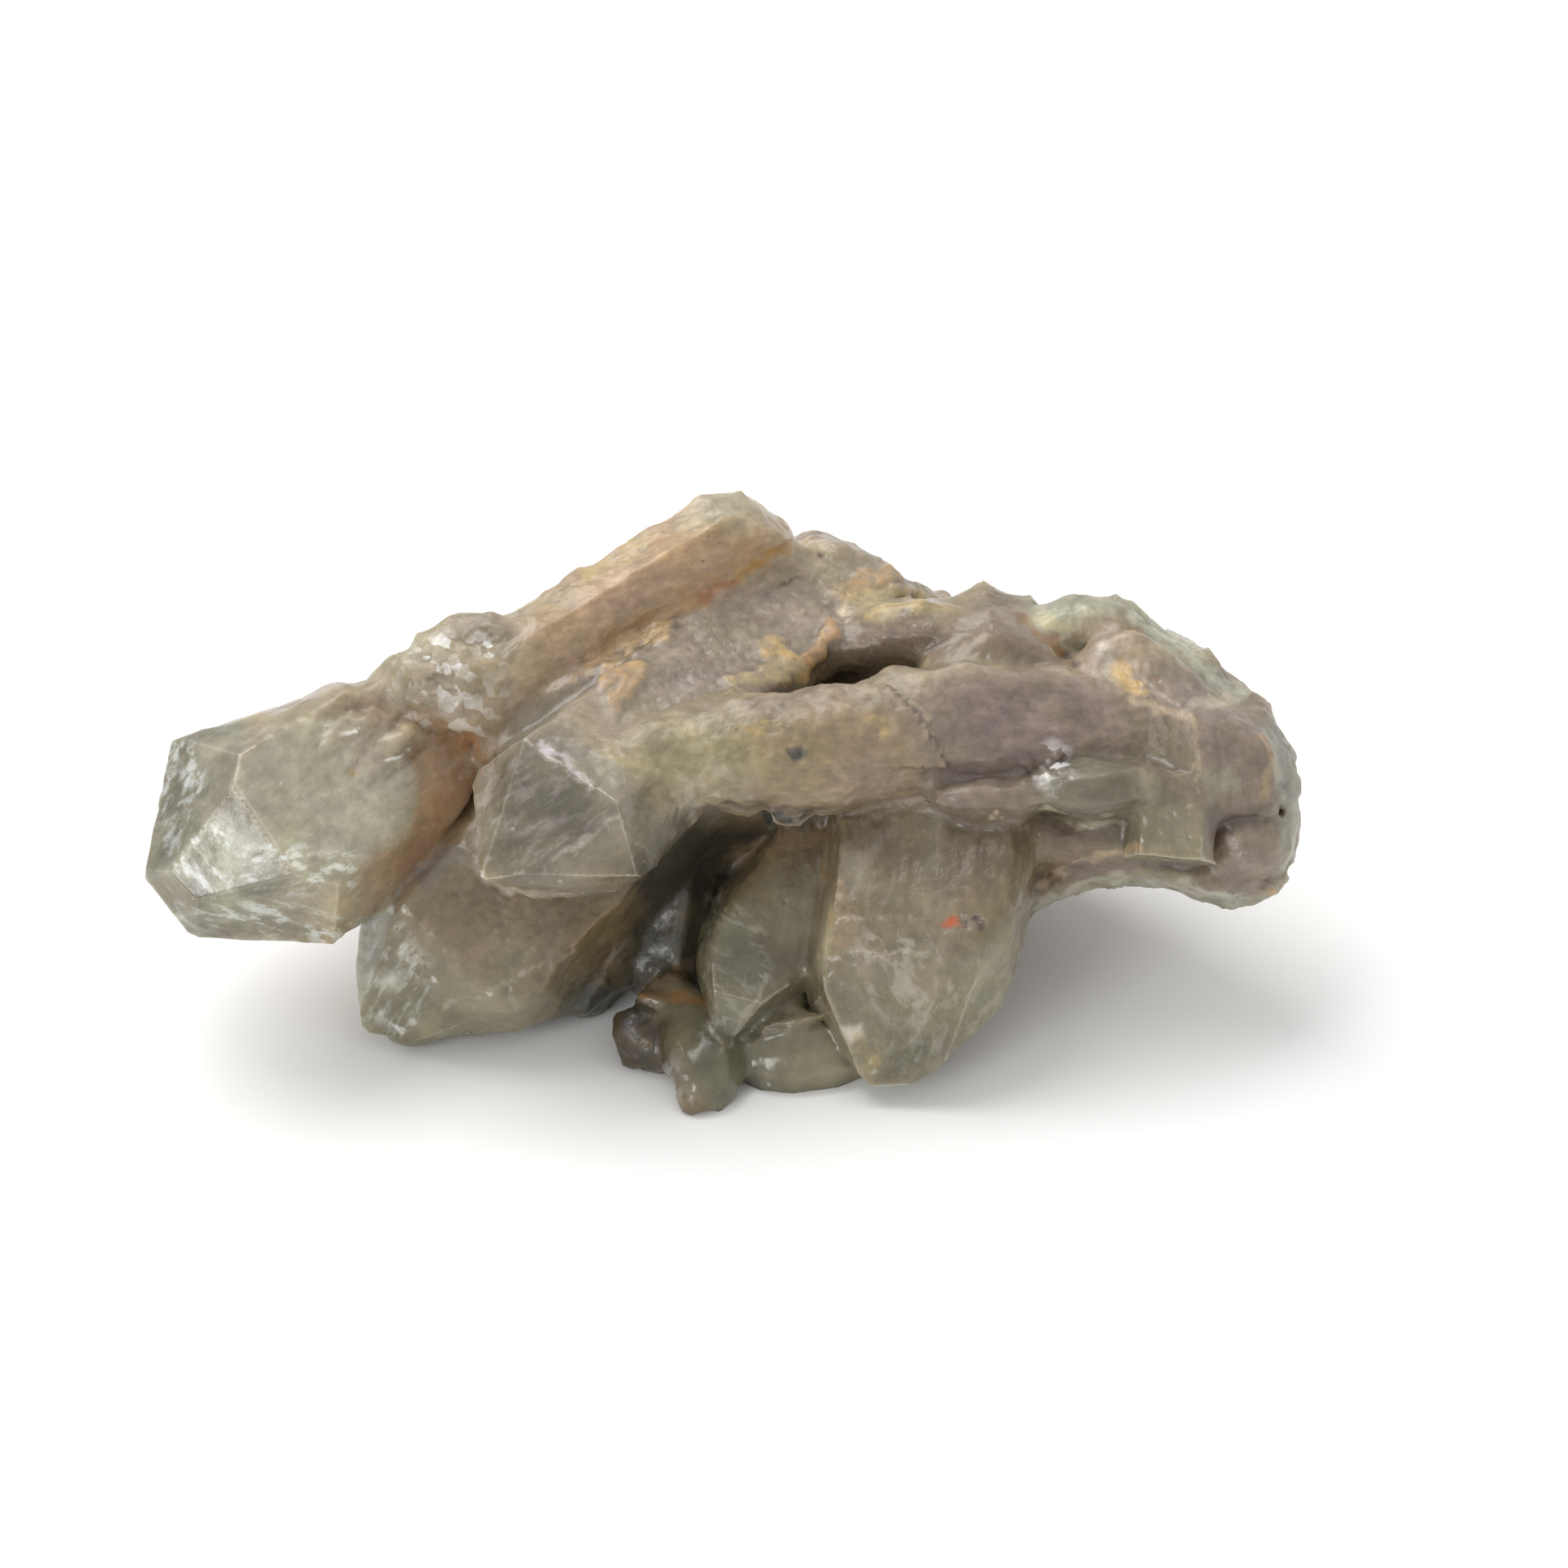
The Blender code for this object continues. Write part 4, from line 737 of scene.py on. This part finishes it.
def fray(places):
    """Places on the front, pushed about by a noise."""
    moved = places[:, :2].copy()
    for index, place in enumerate(places):
        push = noise.noise_vector(Vector(place) / FRAY_SIZE)
        moved[index] += FRAY_PUSH * push[0], FRAY_PUSH * push[1]
    return moved


def distance_to_line(spots, corners):
    """Distance in millimetres from each spot to a line through the corners."""
    nearest_yet = np.full(len(spots), 1e9)
    for start, end in zip(corners, corners[1:] or corners):
        start = np.array(start, float)
        line = np.array(end, float) - start
        along = np.clip((spots - start) @ line / max(line @ line, 1e-9), 0, 1)
        away = np.linalg.norm(spots - start - along[:, None] * line, axis=1)
        nearest_yet = np.minimum(nearest_yet, away)
    return nearest_yet


def depth_in_patch(spots, corners):
    """Distance in millimetres from each spot to the patch's border, below 0 outside it."""
    inside = np.zeros(len(spots), bool)
    for (x1, y1), (x2, y2) in zip(corners, corners[1:] + corners[:1]):
        crosses = (spots[:, 1] > y1) != (spots[:, 1] > y2)
        at = x1 + (spots[:, 1] - y1) * (x2 - x1) / (y2 - y1 if y2 != y1 else 1e-9)
        inside ^= crosses & (spots[:, 0] < at)
    border = distance_to_line(spots, corners + corners[:1])
    return np.where(inside, border, -border)


def near_mark(spots, corners, margin):
    """Index of the vertices near a mark, which are the only ones that it can change."""
    low = np.min(corners, axis=0) - margin
    high = np.max(corners, axis=0) + margin
    return np.nonzero(((spots > low) & (spots < high)).all(axis=1) & (on_front > 0))[0]


on_front = np.clip((facing - TURNED_AWAY) / TURNED_FADE, 0, 1)
plain = places[:, :2]
frayed = fray(places)
print("vertices on the front:", int((on_front > 0).sum()))

# %% Lay the marks and the specks
RIDGE_LIFT = 0.8
CRUST_LIFT = 0.7
LINE_BORDER = 0.7
CLOUD_BORDER = 1.6
stain_and_painted_light = np.array(tint)
stain_and_painted_light_share = np.zeros(len(tint))
raised = np.zeros(len(tint))
for kind, code, strength, clearness, width, corners in MARKS:
    spots = plain if kind == "face" else frayed
    index = near_mark(spots, corners, 2 * width)
    if not len(index):
        continue
    if kind in ("line", "crust", "ridge"):
        share = np.clip(1.5 - distance_to_line(spots[index], corners) / (LINE_BORDER * width), 0, 1)
    else:
        border_width = width if kind == "face" else CLOUD_BORDER * width
        share = np.clip(0.5 + depth_in_patch(spots[index], corners) / border_width, 0, 1)
    share = share * strength * on_front[index]
    clear[index] += (clearness - clear[index]) * share
    if kind == "ridge":
        raised[index] = np.maximum(raised[index], RIDGE_LIFT * np.sqrt(share))
    elif kind == "crust":
        raised[index] = np.maximum(raised[index], CRUST_LIFT * share)
    # lines and crusts go into the stain layer, which holds stains and also painted shade and highlight lines
    if kind in ("line", "crust"):
        strongest = np.maximum(np.maximum(share, stain_and_painted_light_share[index]), 1e-6)
        fresh = np.maximum(share, 1e-6) / strongest
        stain_and_painted_light[index] += (np.array(srgb(code)) - stain_and_painted_light[index]) * fresh[:, None]
        stain_and_painted_light_share[index] = np.maximum(stain_and_painted_light_share[index], share)
    else:
        tint[index] += (np.array(srgb(code)) - tint[index]) * share[:, None]
for code, specks in SPECK_COLOURS.items():
    for across, up, size in specks:
        index = near_mark(plain, [(across, up)], 2 * size)
        away = distance_to_line(plain[index], [(across, up)])
        share = np.clip(1.3 - away / (0.6 * size), 0, 0.8) * on_front[index]
        stronger = share[:, None] > stain_and_painted_light_share[index][:, None]
        stain_and_painted_light[index] = np.where(stronger, srgb(code), stain_and_painted_light[index])
        stain_and_painted_light_share[index] = np.maximum(stain_and_painted_light_share[index], share)
print("stained vertices:", int((stain_and_painted_light_share > 0.3).sum()))

# %% Lay the veils
VEIL_BORDER = 1.4
veil = np.zeros((len(tint), 4))
veil_place = np.zeros((len(tint), 3))
for heading, length, width, strength, code, corners in VEILS:
    index = near_mark(plain, corners, 1.0)
    share = np.clip(0.5 + depth_in_patch(plain[index], corners) / VEIL_BORDER, 0, 1)
    share = share * strength * on_front[index]
    stronger = share >= veil[index, 3]
    index, share = index[stronger], share[stronger]
    along = np.array([math.cos(math.radians(heading)), math.sin(math.radians(heading))])
    beside = np.array([-along[1], along[0]])
    veil[index] = np.column_stack([np.tile(srgb(code), (len(index), 1)), share])
    veil_place[index] = np.column_stack(
        [plain[index] @ along / length, plain[index] @ beside / width, places[index, 2] / length])
print("veiled vertices:", int((veil[:, 3] > 0.3).sum()))

# %% [markdown]
# ## Growth ridges, grains and broken faces
# Under a finger the milky parts feel ribbed: ridges run along each crystal, with small grains on
# top. Noise that is stretched along the crystal's own line makes the ridges, and the grains are
# the little flat-topped cells of a crackle pattern. Broken places get coarser cells, each of which
# ends in a small flat face of its own, and sides that turn away from the front are worn uneven.

# %% Height of the growth patterns: sizes and lifts in millimetres
STRETCH = 3.0
WAVE_SIZE = 5.5
WAVE_LIFT = 0.5
RIDGE_SIZE = 2.2
RIBBED_LIFT = 0.26
FINE_SIZE = 0.9
FINE_RIDGE_LIFT = 0.12
FINE_LIFT = 0.16
GRAIN_SIZE = 1.3
GRAIN_LIFT = 0.4
GRAIN_TOP = 0.25
GRAIN_MEAN = 0.16
BROKEN_SIZE = 1.9
BROKEN_LEAN = 0.55
stretched = points - axis * (points * axis).sum(axis=1)[:, None] * (1 - 1 / STRETCH)
grain = stretched / MM


def growth_lift(spot, ridge_spot):
    """Height of the growth pattern in millimetres, about 0 on average."""
    lift = WAVE_LIFT * noise.noise(spot / WAVE_SIZE)
    lift += RIBBED_LIFT * noise.noise(ridge_spot / RIDGE_SIZE)
    lift += FINE_RIDGE_LIFT * noise.noise(ridge_spot / FINE_SIZE)
    distances, _ = noise.voronoi(spot / GRAIN_SIZE + Vector((3.1, 1.7, 5.3)))
    crackle = min(GRAIN_TOP, distances[1] - distances[0])
    return lift + GRAIN_LIFT * (crackle - GRAIN_MEAN) + FINE_LIFT * noise.noise(spot / FINE_SIZE)


def broken_lift(spot):
    """Height of small broken faces in millimetres: each cell of a crackle leans its own way."""
    _, middles = noise.voronoi(spot / BROKEN_SIZE)
    lean = noise.noise_vector(middles[0] * 7.7)
    return BROKEN_LEAN * (spot / BROKEN_SIZE - middles[0]).dot(lean) * BROKEN_SIZE


print("growth at one spot, mm:", round(growth_lift(Vector((1, 2, 3)), Vector((1, 2, 3))), 3))

# %% [markdown]
# ## A step on the front crystal
# A plate of later growth covers the left half of the front crystal and ends along a line, as a
# low step. Its height fades with the distance from that line.

# %% The step
LEDGE = [(22.6, 3.4), (21.8, 5.2), (20.7, 7.0), (18.4, 9.9), (16.6, 11.6)]
LEDGE_LIFT = 0.75
LEDGE_FADE = 5.0
ledge = np.exp(-distance_to_line(plain, LEDGE) / LEDGE_FADE) * on_front
for (x1, y1), (x2, y2) in zip(LEDGE, LEDGE[1:]):
    band = (plain[:, 1] >= y1) & (plain[:, 1] < y2)
    ledge[band & (plain[:, 0] > x1 + (plain[:, 1] - y1) * (x2 - x1) / (y2 - y1))] = 0
ledge[(plain[:, 1] < LEDGE[0][1]) | (plain[:, 1] > LEDGE[-1][1])] = 0
print("vertices on the step:", int((ledge > 0.5).sum()))

# %% Move the surface
WEAR_SIZE = 3.0
SIDE_WEAR = 0.9
STAIN_DEPTH = 0.16
THIN_BROKEN = 0.6
NEXT_TO_NONE = 0.02
side_wear = SIDE_WEAR * (1 - np.abs(facing))
broken = np.where(thin, np.maximum(THIN_BROKEN * rough, glitter), glitter)
for index, vertex in enumerate(surface.verts):
    place = Vector(places[index])
    lift = 0.0
    if rough[index] > NEXT_TO_NONE:
        lift += rough[index] * growth_lift(place, Vector(grain[index]))
    if broken[index] > NEXT_TO_NONE:
        lift += broken[index] * broken_lift(place)
    lift += rough[index] * side_wear[index] * noise.noise(place / WEAR_SIZE)
    lift += LEDGE_LIFT * ledge[index] + raised[index]
    if raised[index] < NEXT_TO_NONE:
        lift -= STAIN_DEPTH * stain_and_painted_light_share[index]
    vertex.co += vertex.normal * (lift * MM)
print("roughened vertices:", int((rough > NEXT_TO_NONE).sum()))

# %% [markdown]
# ## The finished piece
# The mesh takes the place of the plain solid and stays inside its box. What was worked out for each
# vertex is stored on the mesh as attributes, where the material finds it.

# %% Make the piece
SHARP_ANGLE = math.radians(32)
mesh = bpy.data.meshes.new("quartz_surface")
surface.to_mesh(mesh)
surface.free()
coords = np.empty(len(mesh.vertices) * 3, np.float32)
mesh.vertices.foreach_get("co", coords)
coords = coords.reshape(-1, 3).clip(np.array(cad_box[0]), np.array(cad_box[1]))
mesh.vertices.foreach_set("co", coords.astype(np.float32).ravel())
mesh.update()
mesh.shade_smooth()
mesh.set_sharp_from_angle(angle=SHARP_ANGLE)
quartz = bpy.data.objects.new("quartz_surface", mesh)
bpy.context.scene.collection.objects.link(quartz)
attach(quartz, "root")
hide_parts(NODE)
print("triangles in the piece:", len(mesh.polygons))

# %% Store the values of each vertex
FIELDS = {"FLOAT": "value", "FLOAT_VECTOR": "vector", "FLOAT_COLOR": "color"}
ones = np.ones(len(tint))
VALUES = {
    "tint": ("FLOAT_COLOR", np.column_stack([tint, ones])),
    "stain_and_painted_light": ("FLOAT_COLOR", np.column_stack([stain_and_painted_light, ones])),
    "stain_and_painted_light_share": ("FLOAT", stain_and_painted_light_share),
    "clear": ("FLOAT", clear),
    "rough": ("FLOAT", rough),
    "glitter": ("FLOAT", glitter),
    "on_edge": ("FLOAT", on_edge * (glitter < 0.1)),
    "grain": ("FLOAT_VECTOR", grain),
    "veil": ("FLOAT_COLOR", veil),
    "veil_place": ("FLOAT_VECTOR", veil_place),
}
for name, (kind, values) in VALUES.items():
    attribute = mesh.attributes.new(name, kind, "POINT")
    attribute.data.foreach_set(FIELDS[kind], np.asarray(values, np.float32).ravel())
print(len(VALUES), "attributes")

# %% [markdown]
# ## Quartz
# One mineral, one shader. Its index of refraction is 1.544. Clear parts let light through, and
# milky parts scatter it a few millimetres under the surface, which makes their shading soft. The
# colour is the crystal's tint with clouds of three sizes in it, then the stains with frayed borders,
# along with their painted shade and highlight lines, then painted highlights along the crystal
# edges and the veils' painted silvery reflections, and last the painted white glints of broken faces.

# %% Quartz: the values and the patterns
quartz_material, tree, shader = new_material("milky_to_clear_quartz")
stored = {
    name: add_node(tree, "ShaderNodeAttribute", {}, attribute_name=name).outputs
    for name in VALUES
}
stain_and_painted_light_amount = stored["stain_and_painted_light_share"]["Fac"]
clear_amount = stored["clear"]["Fac"]
rough_amount = stored["rough"]["Fac"]
glitter_amount = stored["glitter"]["Fac"]
veil_amount = stored["veil"]["Alpha"]
spot = add_node(tree, "ShaderNodeTexCoord", {}).outputs["Object"]

# Each pattern: where it is read, its size there, its detail and its roughness. The fibres and the
# flecks are read on stretched places, and the grit is the finest that the render shows.
PATTERNS = {
    "clouds": (spot, 5.0 * MM, 5.0, 0.62),
    "mottle": (spot, 1.6 * MM, 4.0, 0.65),
    "grit": (spot, 0.45 * MM, 3.0, 0.7),
    "hues": (spot, 7.0 * MM, 2.0, 0.5),
    "fibres": (stored["grain"]["Vector"], 0.8, 5.0, 0.6),
    "flecks": (stored["veil_place"]["Vector"], 1.0, 6.0, 0.66),
}
pattern = {
    name: add_node(tree, "ShaderNodeTexNoise", {
        "Vector": where, "Scale": 1 / size, "Detail": detail, "Roughness": roughness,
    }).outputs["Fac"]
    for name, (where, size, detail, roughness) in PATTERNS.items()
}
# Cells of this pattern pick the small broken faces that get a painted white glint.
FLAKE_SIZE = 0.6 * BROKEN_SIZE * MM
flakes = add_node(tree, "ShaderNodeTexVoronoi", {"Vector": spot, "Scale": 1 / FLAKE_SIZE}, feature="F1")
flake_pick = add_node(tree, "ShaderNodeSeparateColor", {"Color": flakes.outputs["Color"]})
print(len(PATTERNS) + 1, "patterns")

# %% [markdown]
# ## From patterns to shares
# A pattern is grey nearly everywhere. A curve brings the part of it that matters to the range that
# the colour or the gloss needs, such as from all dark to all light within a narrow band.

# %% Quartz: curves, with what each one reads, its range, and the range that it is brought to
CURVES = {
    "cloud_shade": (pattern["clouds"], 0.3, 0.7, 0.78, 1.24),
    "mottle_shade": (pattern["mottle"], 0.3, 0.7, 0.84, 1.16),
    "fibre_shade": (pattern["fibres"], 0.3, 0.7, 0.86, 1.14),
    "mottled": (rough_amount, 0.0, 0.7, 0.3, 1.0),
    "hue": (pattern["hues"], 0.38, 0.62, 0.0, 1.0),
    "frayed": (pattern["mottle"], 0.3, 0.7, -0.4, 0.4),
    "near_stain_and_painted_light": (stain_and_painted_light_amount, 0.0, 0.3, 0.0, 1.0),
    # painted edge highlights: where they go along crystal edges, and a mottle that breaks them up
    "edge": (stored["on_edge"]["Fac"], 0.55, 1.0, 0.0, 0.5),
    "edge_highlight_gaps": (pattern["mottle"], 0.4, 0.6, 0.3, 1.0),
    "fleck": (pattern["flecks"], 0.50, 0.60, 0.0, 1.0),
    "between_flecks": (pattern["flecks"], 0.30, 0.46, 0.45, 0.0),
    # painted glints: the broken-face cells that turn white, in groups
    "flake": (flake_pick.outputs["Red"], 0.60, 0.66, 0.0, 0.95),
    "flake_group": (pattern["clouds"], 0.42, 0.54, 0.0, 1.0),
    "cloud_clear": (pattern["clouds"], 0.35, 0.65, 0.95, 0.55),
    "gloss": (rough_amount, 0.0, 1.0, 0.06, 0.40),
    "grit_height": (rough_amount, 0.0, 1.0, 0.1, 0.7),
}
curve = {
    name: add_node(tree, "ShaderNodeMapRange", {
        "Value": value, "From Min": low, "From Max": high, "To Min": to_low, "To Max": to_high,
    }).outputs["Result"]
    for name, (value, low, high, to_low, to_high) in CURVES.items()
}
print(len(CURVES), "curves")

# %% Quartz: products, with the two or more things that are multiplied
BRIGHTNESS = 0.78
curve["mottle_shade"] = add_node(tree, "ShaderNodeMix", {
    "Factor": curve["mottled"], 2: 1.0, 3: curve["mottle_shade"],
}, data_type="FLOAT").outputs[0]
PRODUCTS = {
    "shade": (curve["cloud_shade"], curve["mottle_shade"], curve["fibre_shade"], BRIGHTNESS),
    "whiteness": (clear_amount, 0.35),
    "fraying": (curve["frayed"], curve["near_stain_and_painted_light"]),
    "edge": (curve["edge"], curve["edge_highlight_gaps"]),
    "veil": (curve["fleck"], veil_amount),
    "veil_gap": (curve["between_flecks"], veil_amount),
    "flake": (curve["flake"], glitter_amount, curve["flake_group"]),
    "clearness": (clear_amount, curve["cloud_clear"]),
    "fibre_height": (pattern["fibres"], rough_amount),
    "grit_height": (pattern["grit"], curve["grit_height"]),
}
product = {}
for name, (first, *others) in PRODUCTS.items():
    for other in others:
        first = add_node(tree, "ShaderNodeMath", {0: first, 1: other}, operation="MULTIPLY").outputs[0]
    product[name] = first
stain_and_painted_light_edge = add_node(
    tree, "ShaderNodeMath", {0: stain_and_painted_light_amount, 1: product["fraying"]}, operation="ADD",
).outputs[0]
stain_and_painted_light_mask = add_node(tree, "ShaderNodeMapRange", {
    "Value": stain_and_painted_light_edge, "From Min": 0.25, "From Max": 1.05, "To Min": 0.0, "To Max": 0.85,
}).outputs["Result"]
print(len(PRODUCTS), "products")

# %% [markdown]
# ## Colour
# The tint is shaded by the patterns and given a cast that drifts between yellow and lilac. Then
# each layer covers what lies under it by its own share, from the milkiness to the painted white
# glints of the broken faces.

# %% Quartz: colour
YELLOW_CAST = (1.02, 0.99, 0.86)
LILAC_CAST = (1.02, 0.97, 0.97)
cast = add_node(
    tree, "ShaderNodeMix", {"Factor": curve["hue"], 4: YELLOW_CAST, 5: LILAC_CAST}, data_type="VECTOR",
).outputs[1]
tinted = add_node(
    tree, "ShaderNodeVectorMath", {0: stored["tint"]["Color"], 1: cast}, operation="MULTIPLY",
).outputs["Vector"]
colour = add_node(
    tree, "ShaderNodeVectorMath", {"Vector": tinted, "Scale": product["shade"]}, operation="SCALE",
).outputs["Vector"]
LAYERS = {
    "milky": (product["whiteness"], (*srgb("#D9D3B4"), 1.0)),
    "stain_and_painted_light_mask": (stain_and_painted_light_mask, stored["stain_and_painted_light"]["Color"]),
    # painted highlights along the crystal edges
    "painted edge highlights": (product["edge"], (*srgb("#CBC8BC"), 1.0)),
    # the veils: darker glass between the flecks, then the flecks' painted silvery reflections
    "dark between flecks": (product["veil_gap"], (*srgb("#6E6A5A"), 1.0)),
    "veils": (product["veil"], stored["veil"]["Color"]),
    # painted glints: white on the small broken faces
    "painted glints on broken faces": (product["flake"], (*srgb("#F4F5F2"), 1.0)),
}
for share, cover in LAYERS.values():
    colour = add_node(
        tree, "ShaderNodeMix", {"Factor": share, 6: colour, 7: cover}, data_type="RGBA",
    ).outputs[2]
tree.links.new(colour, shader.inputs["Base Color"])
print(len(LAYERS), "layers of colour")

# %% [markdown]
# ## Clearness, gloss and grain
# Stains let less light through, and broken faces are glossier than grown ones. The finest grain is
# too small for the mesh, so it is given as bump. Absorption deepens the colour of thick clear parts.

# %% Quartz: clearness, gloss and grain
less_clear = add_node(tree, "ShaderNodeMapRange", {"Value": stain_and_painted_light_mask, "To Min": 1.0, "To Max": 0.25})
glossier = add_node(tree, "ShaderNodeMapRange", {"Value": product["flake"], "To Min": 1.0, "To Max": 0.3})
see_through = add_node(tree, "ShaderNodeMath", {
    0: product["clearness"], 1: less_clear.outputs["Result"],
}, operation="MULTIPLY")
gloss = add_node(
    tree, "ShaderNodeMath", {0: curve["gloss"], 1: glossier.outputs["Result"]}, operation="MULTIPLY",
)
relief = add_node(
    tree, "ShaderNodeMath", {0: product["fibre_height"], 1: product["grit_height"]}, operation="ADD",
)
bumps = add_node(tree, "ShaderNodeBump", {
    "Strength": 0.35, "Distance": 0.35 * MM, "Height": relief.outputs[0],
})
tree.links.new(see_through.outputs[0], shader.inputs["Transmission Weight"])
tree.links.new(gloss.outputs[0], shader.inputs["Roughness"])
tree.links.new(bumps.outputs["Normal"], shader.inputs["Normal"])
shader.inputs["IOR"].default_value = 1.544
shader.inputs["Subsurface Weight"].default_value = 0.85
shader.inputs["Subsurface Radius"].default_value = (1.0, 0.85, 0.7)
shader.inputs["Subsurface Scale"].default_value = 3.2 * MM
absorb = add_node(tree, "ShaderNodeVolumeAbsorption", {"Color": (0.80, 0.76, 0.62, 1.0), "Density": 35.0})
tree.links.new(absorb.outputs["Volume"], tree.nodes["Material Output"].inputs["Volume"])
mesh.materials.append(quartz_material)
print(len(tree.nodes), "nodes in the quartz")
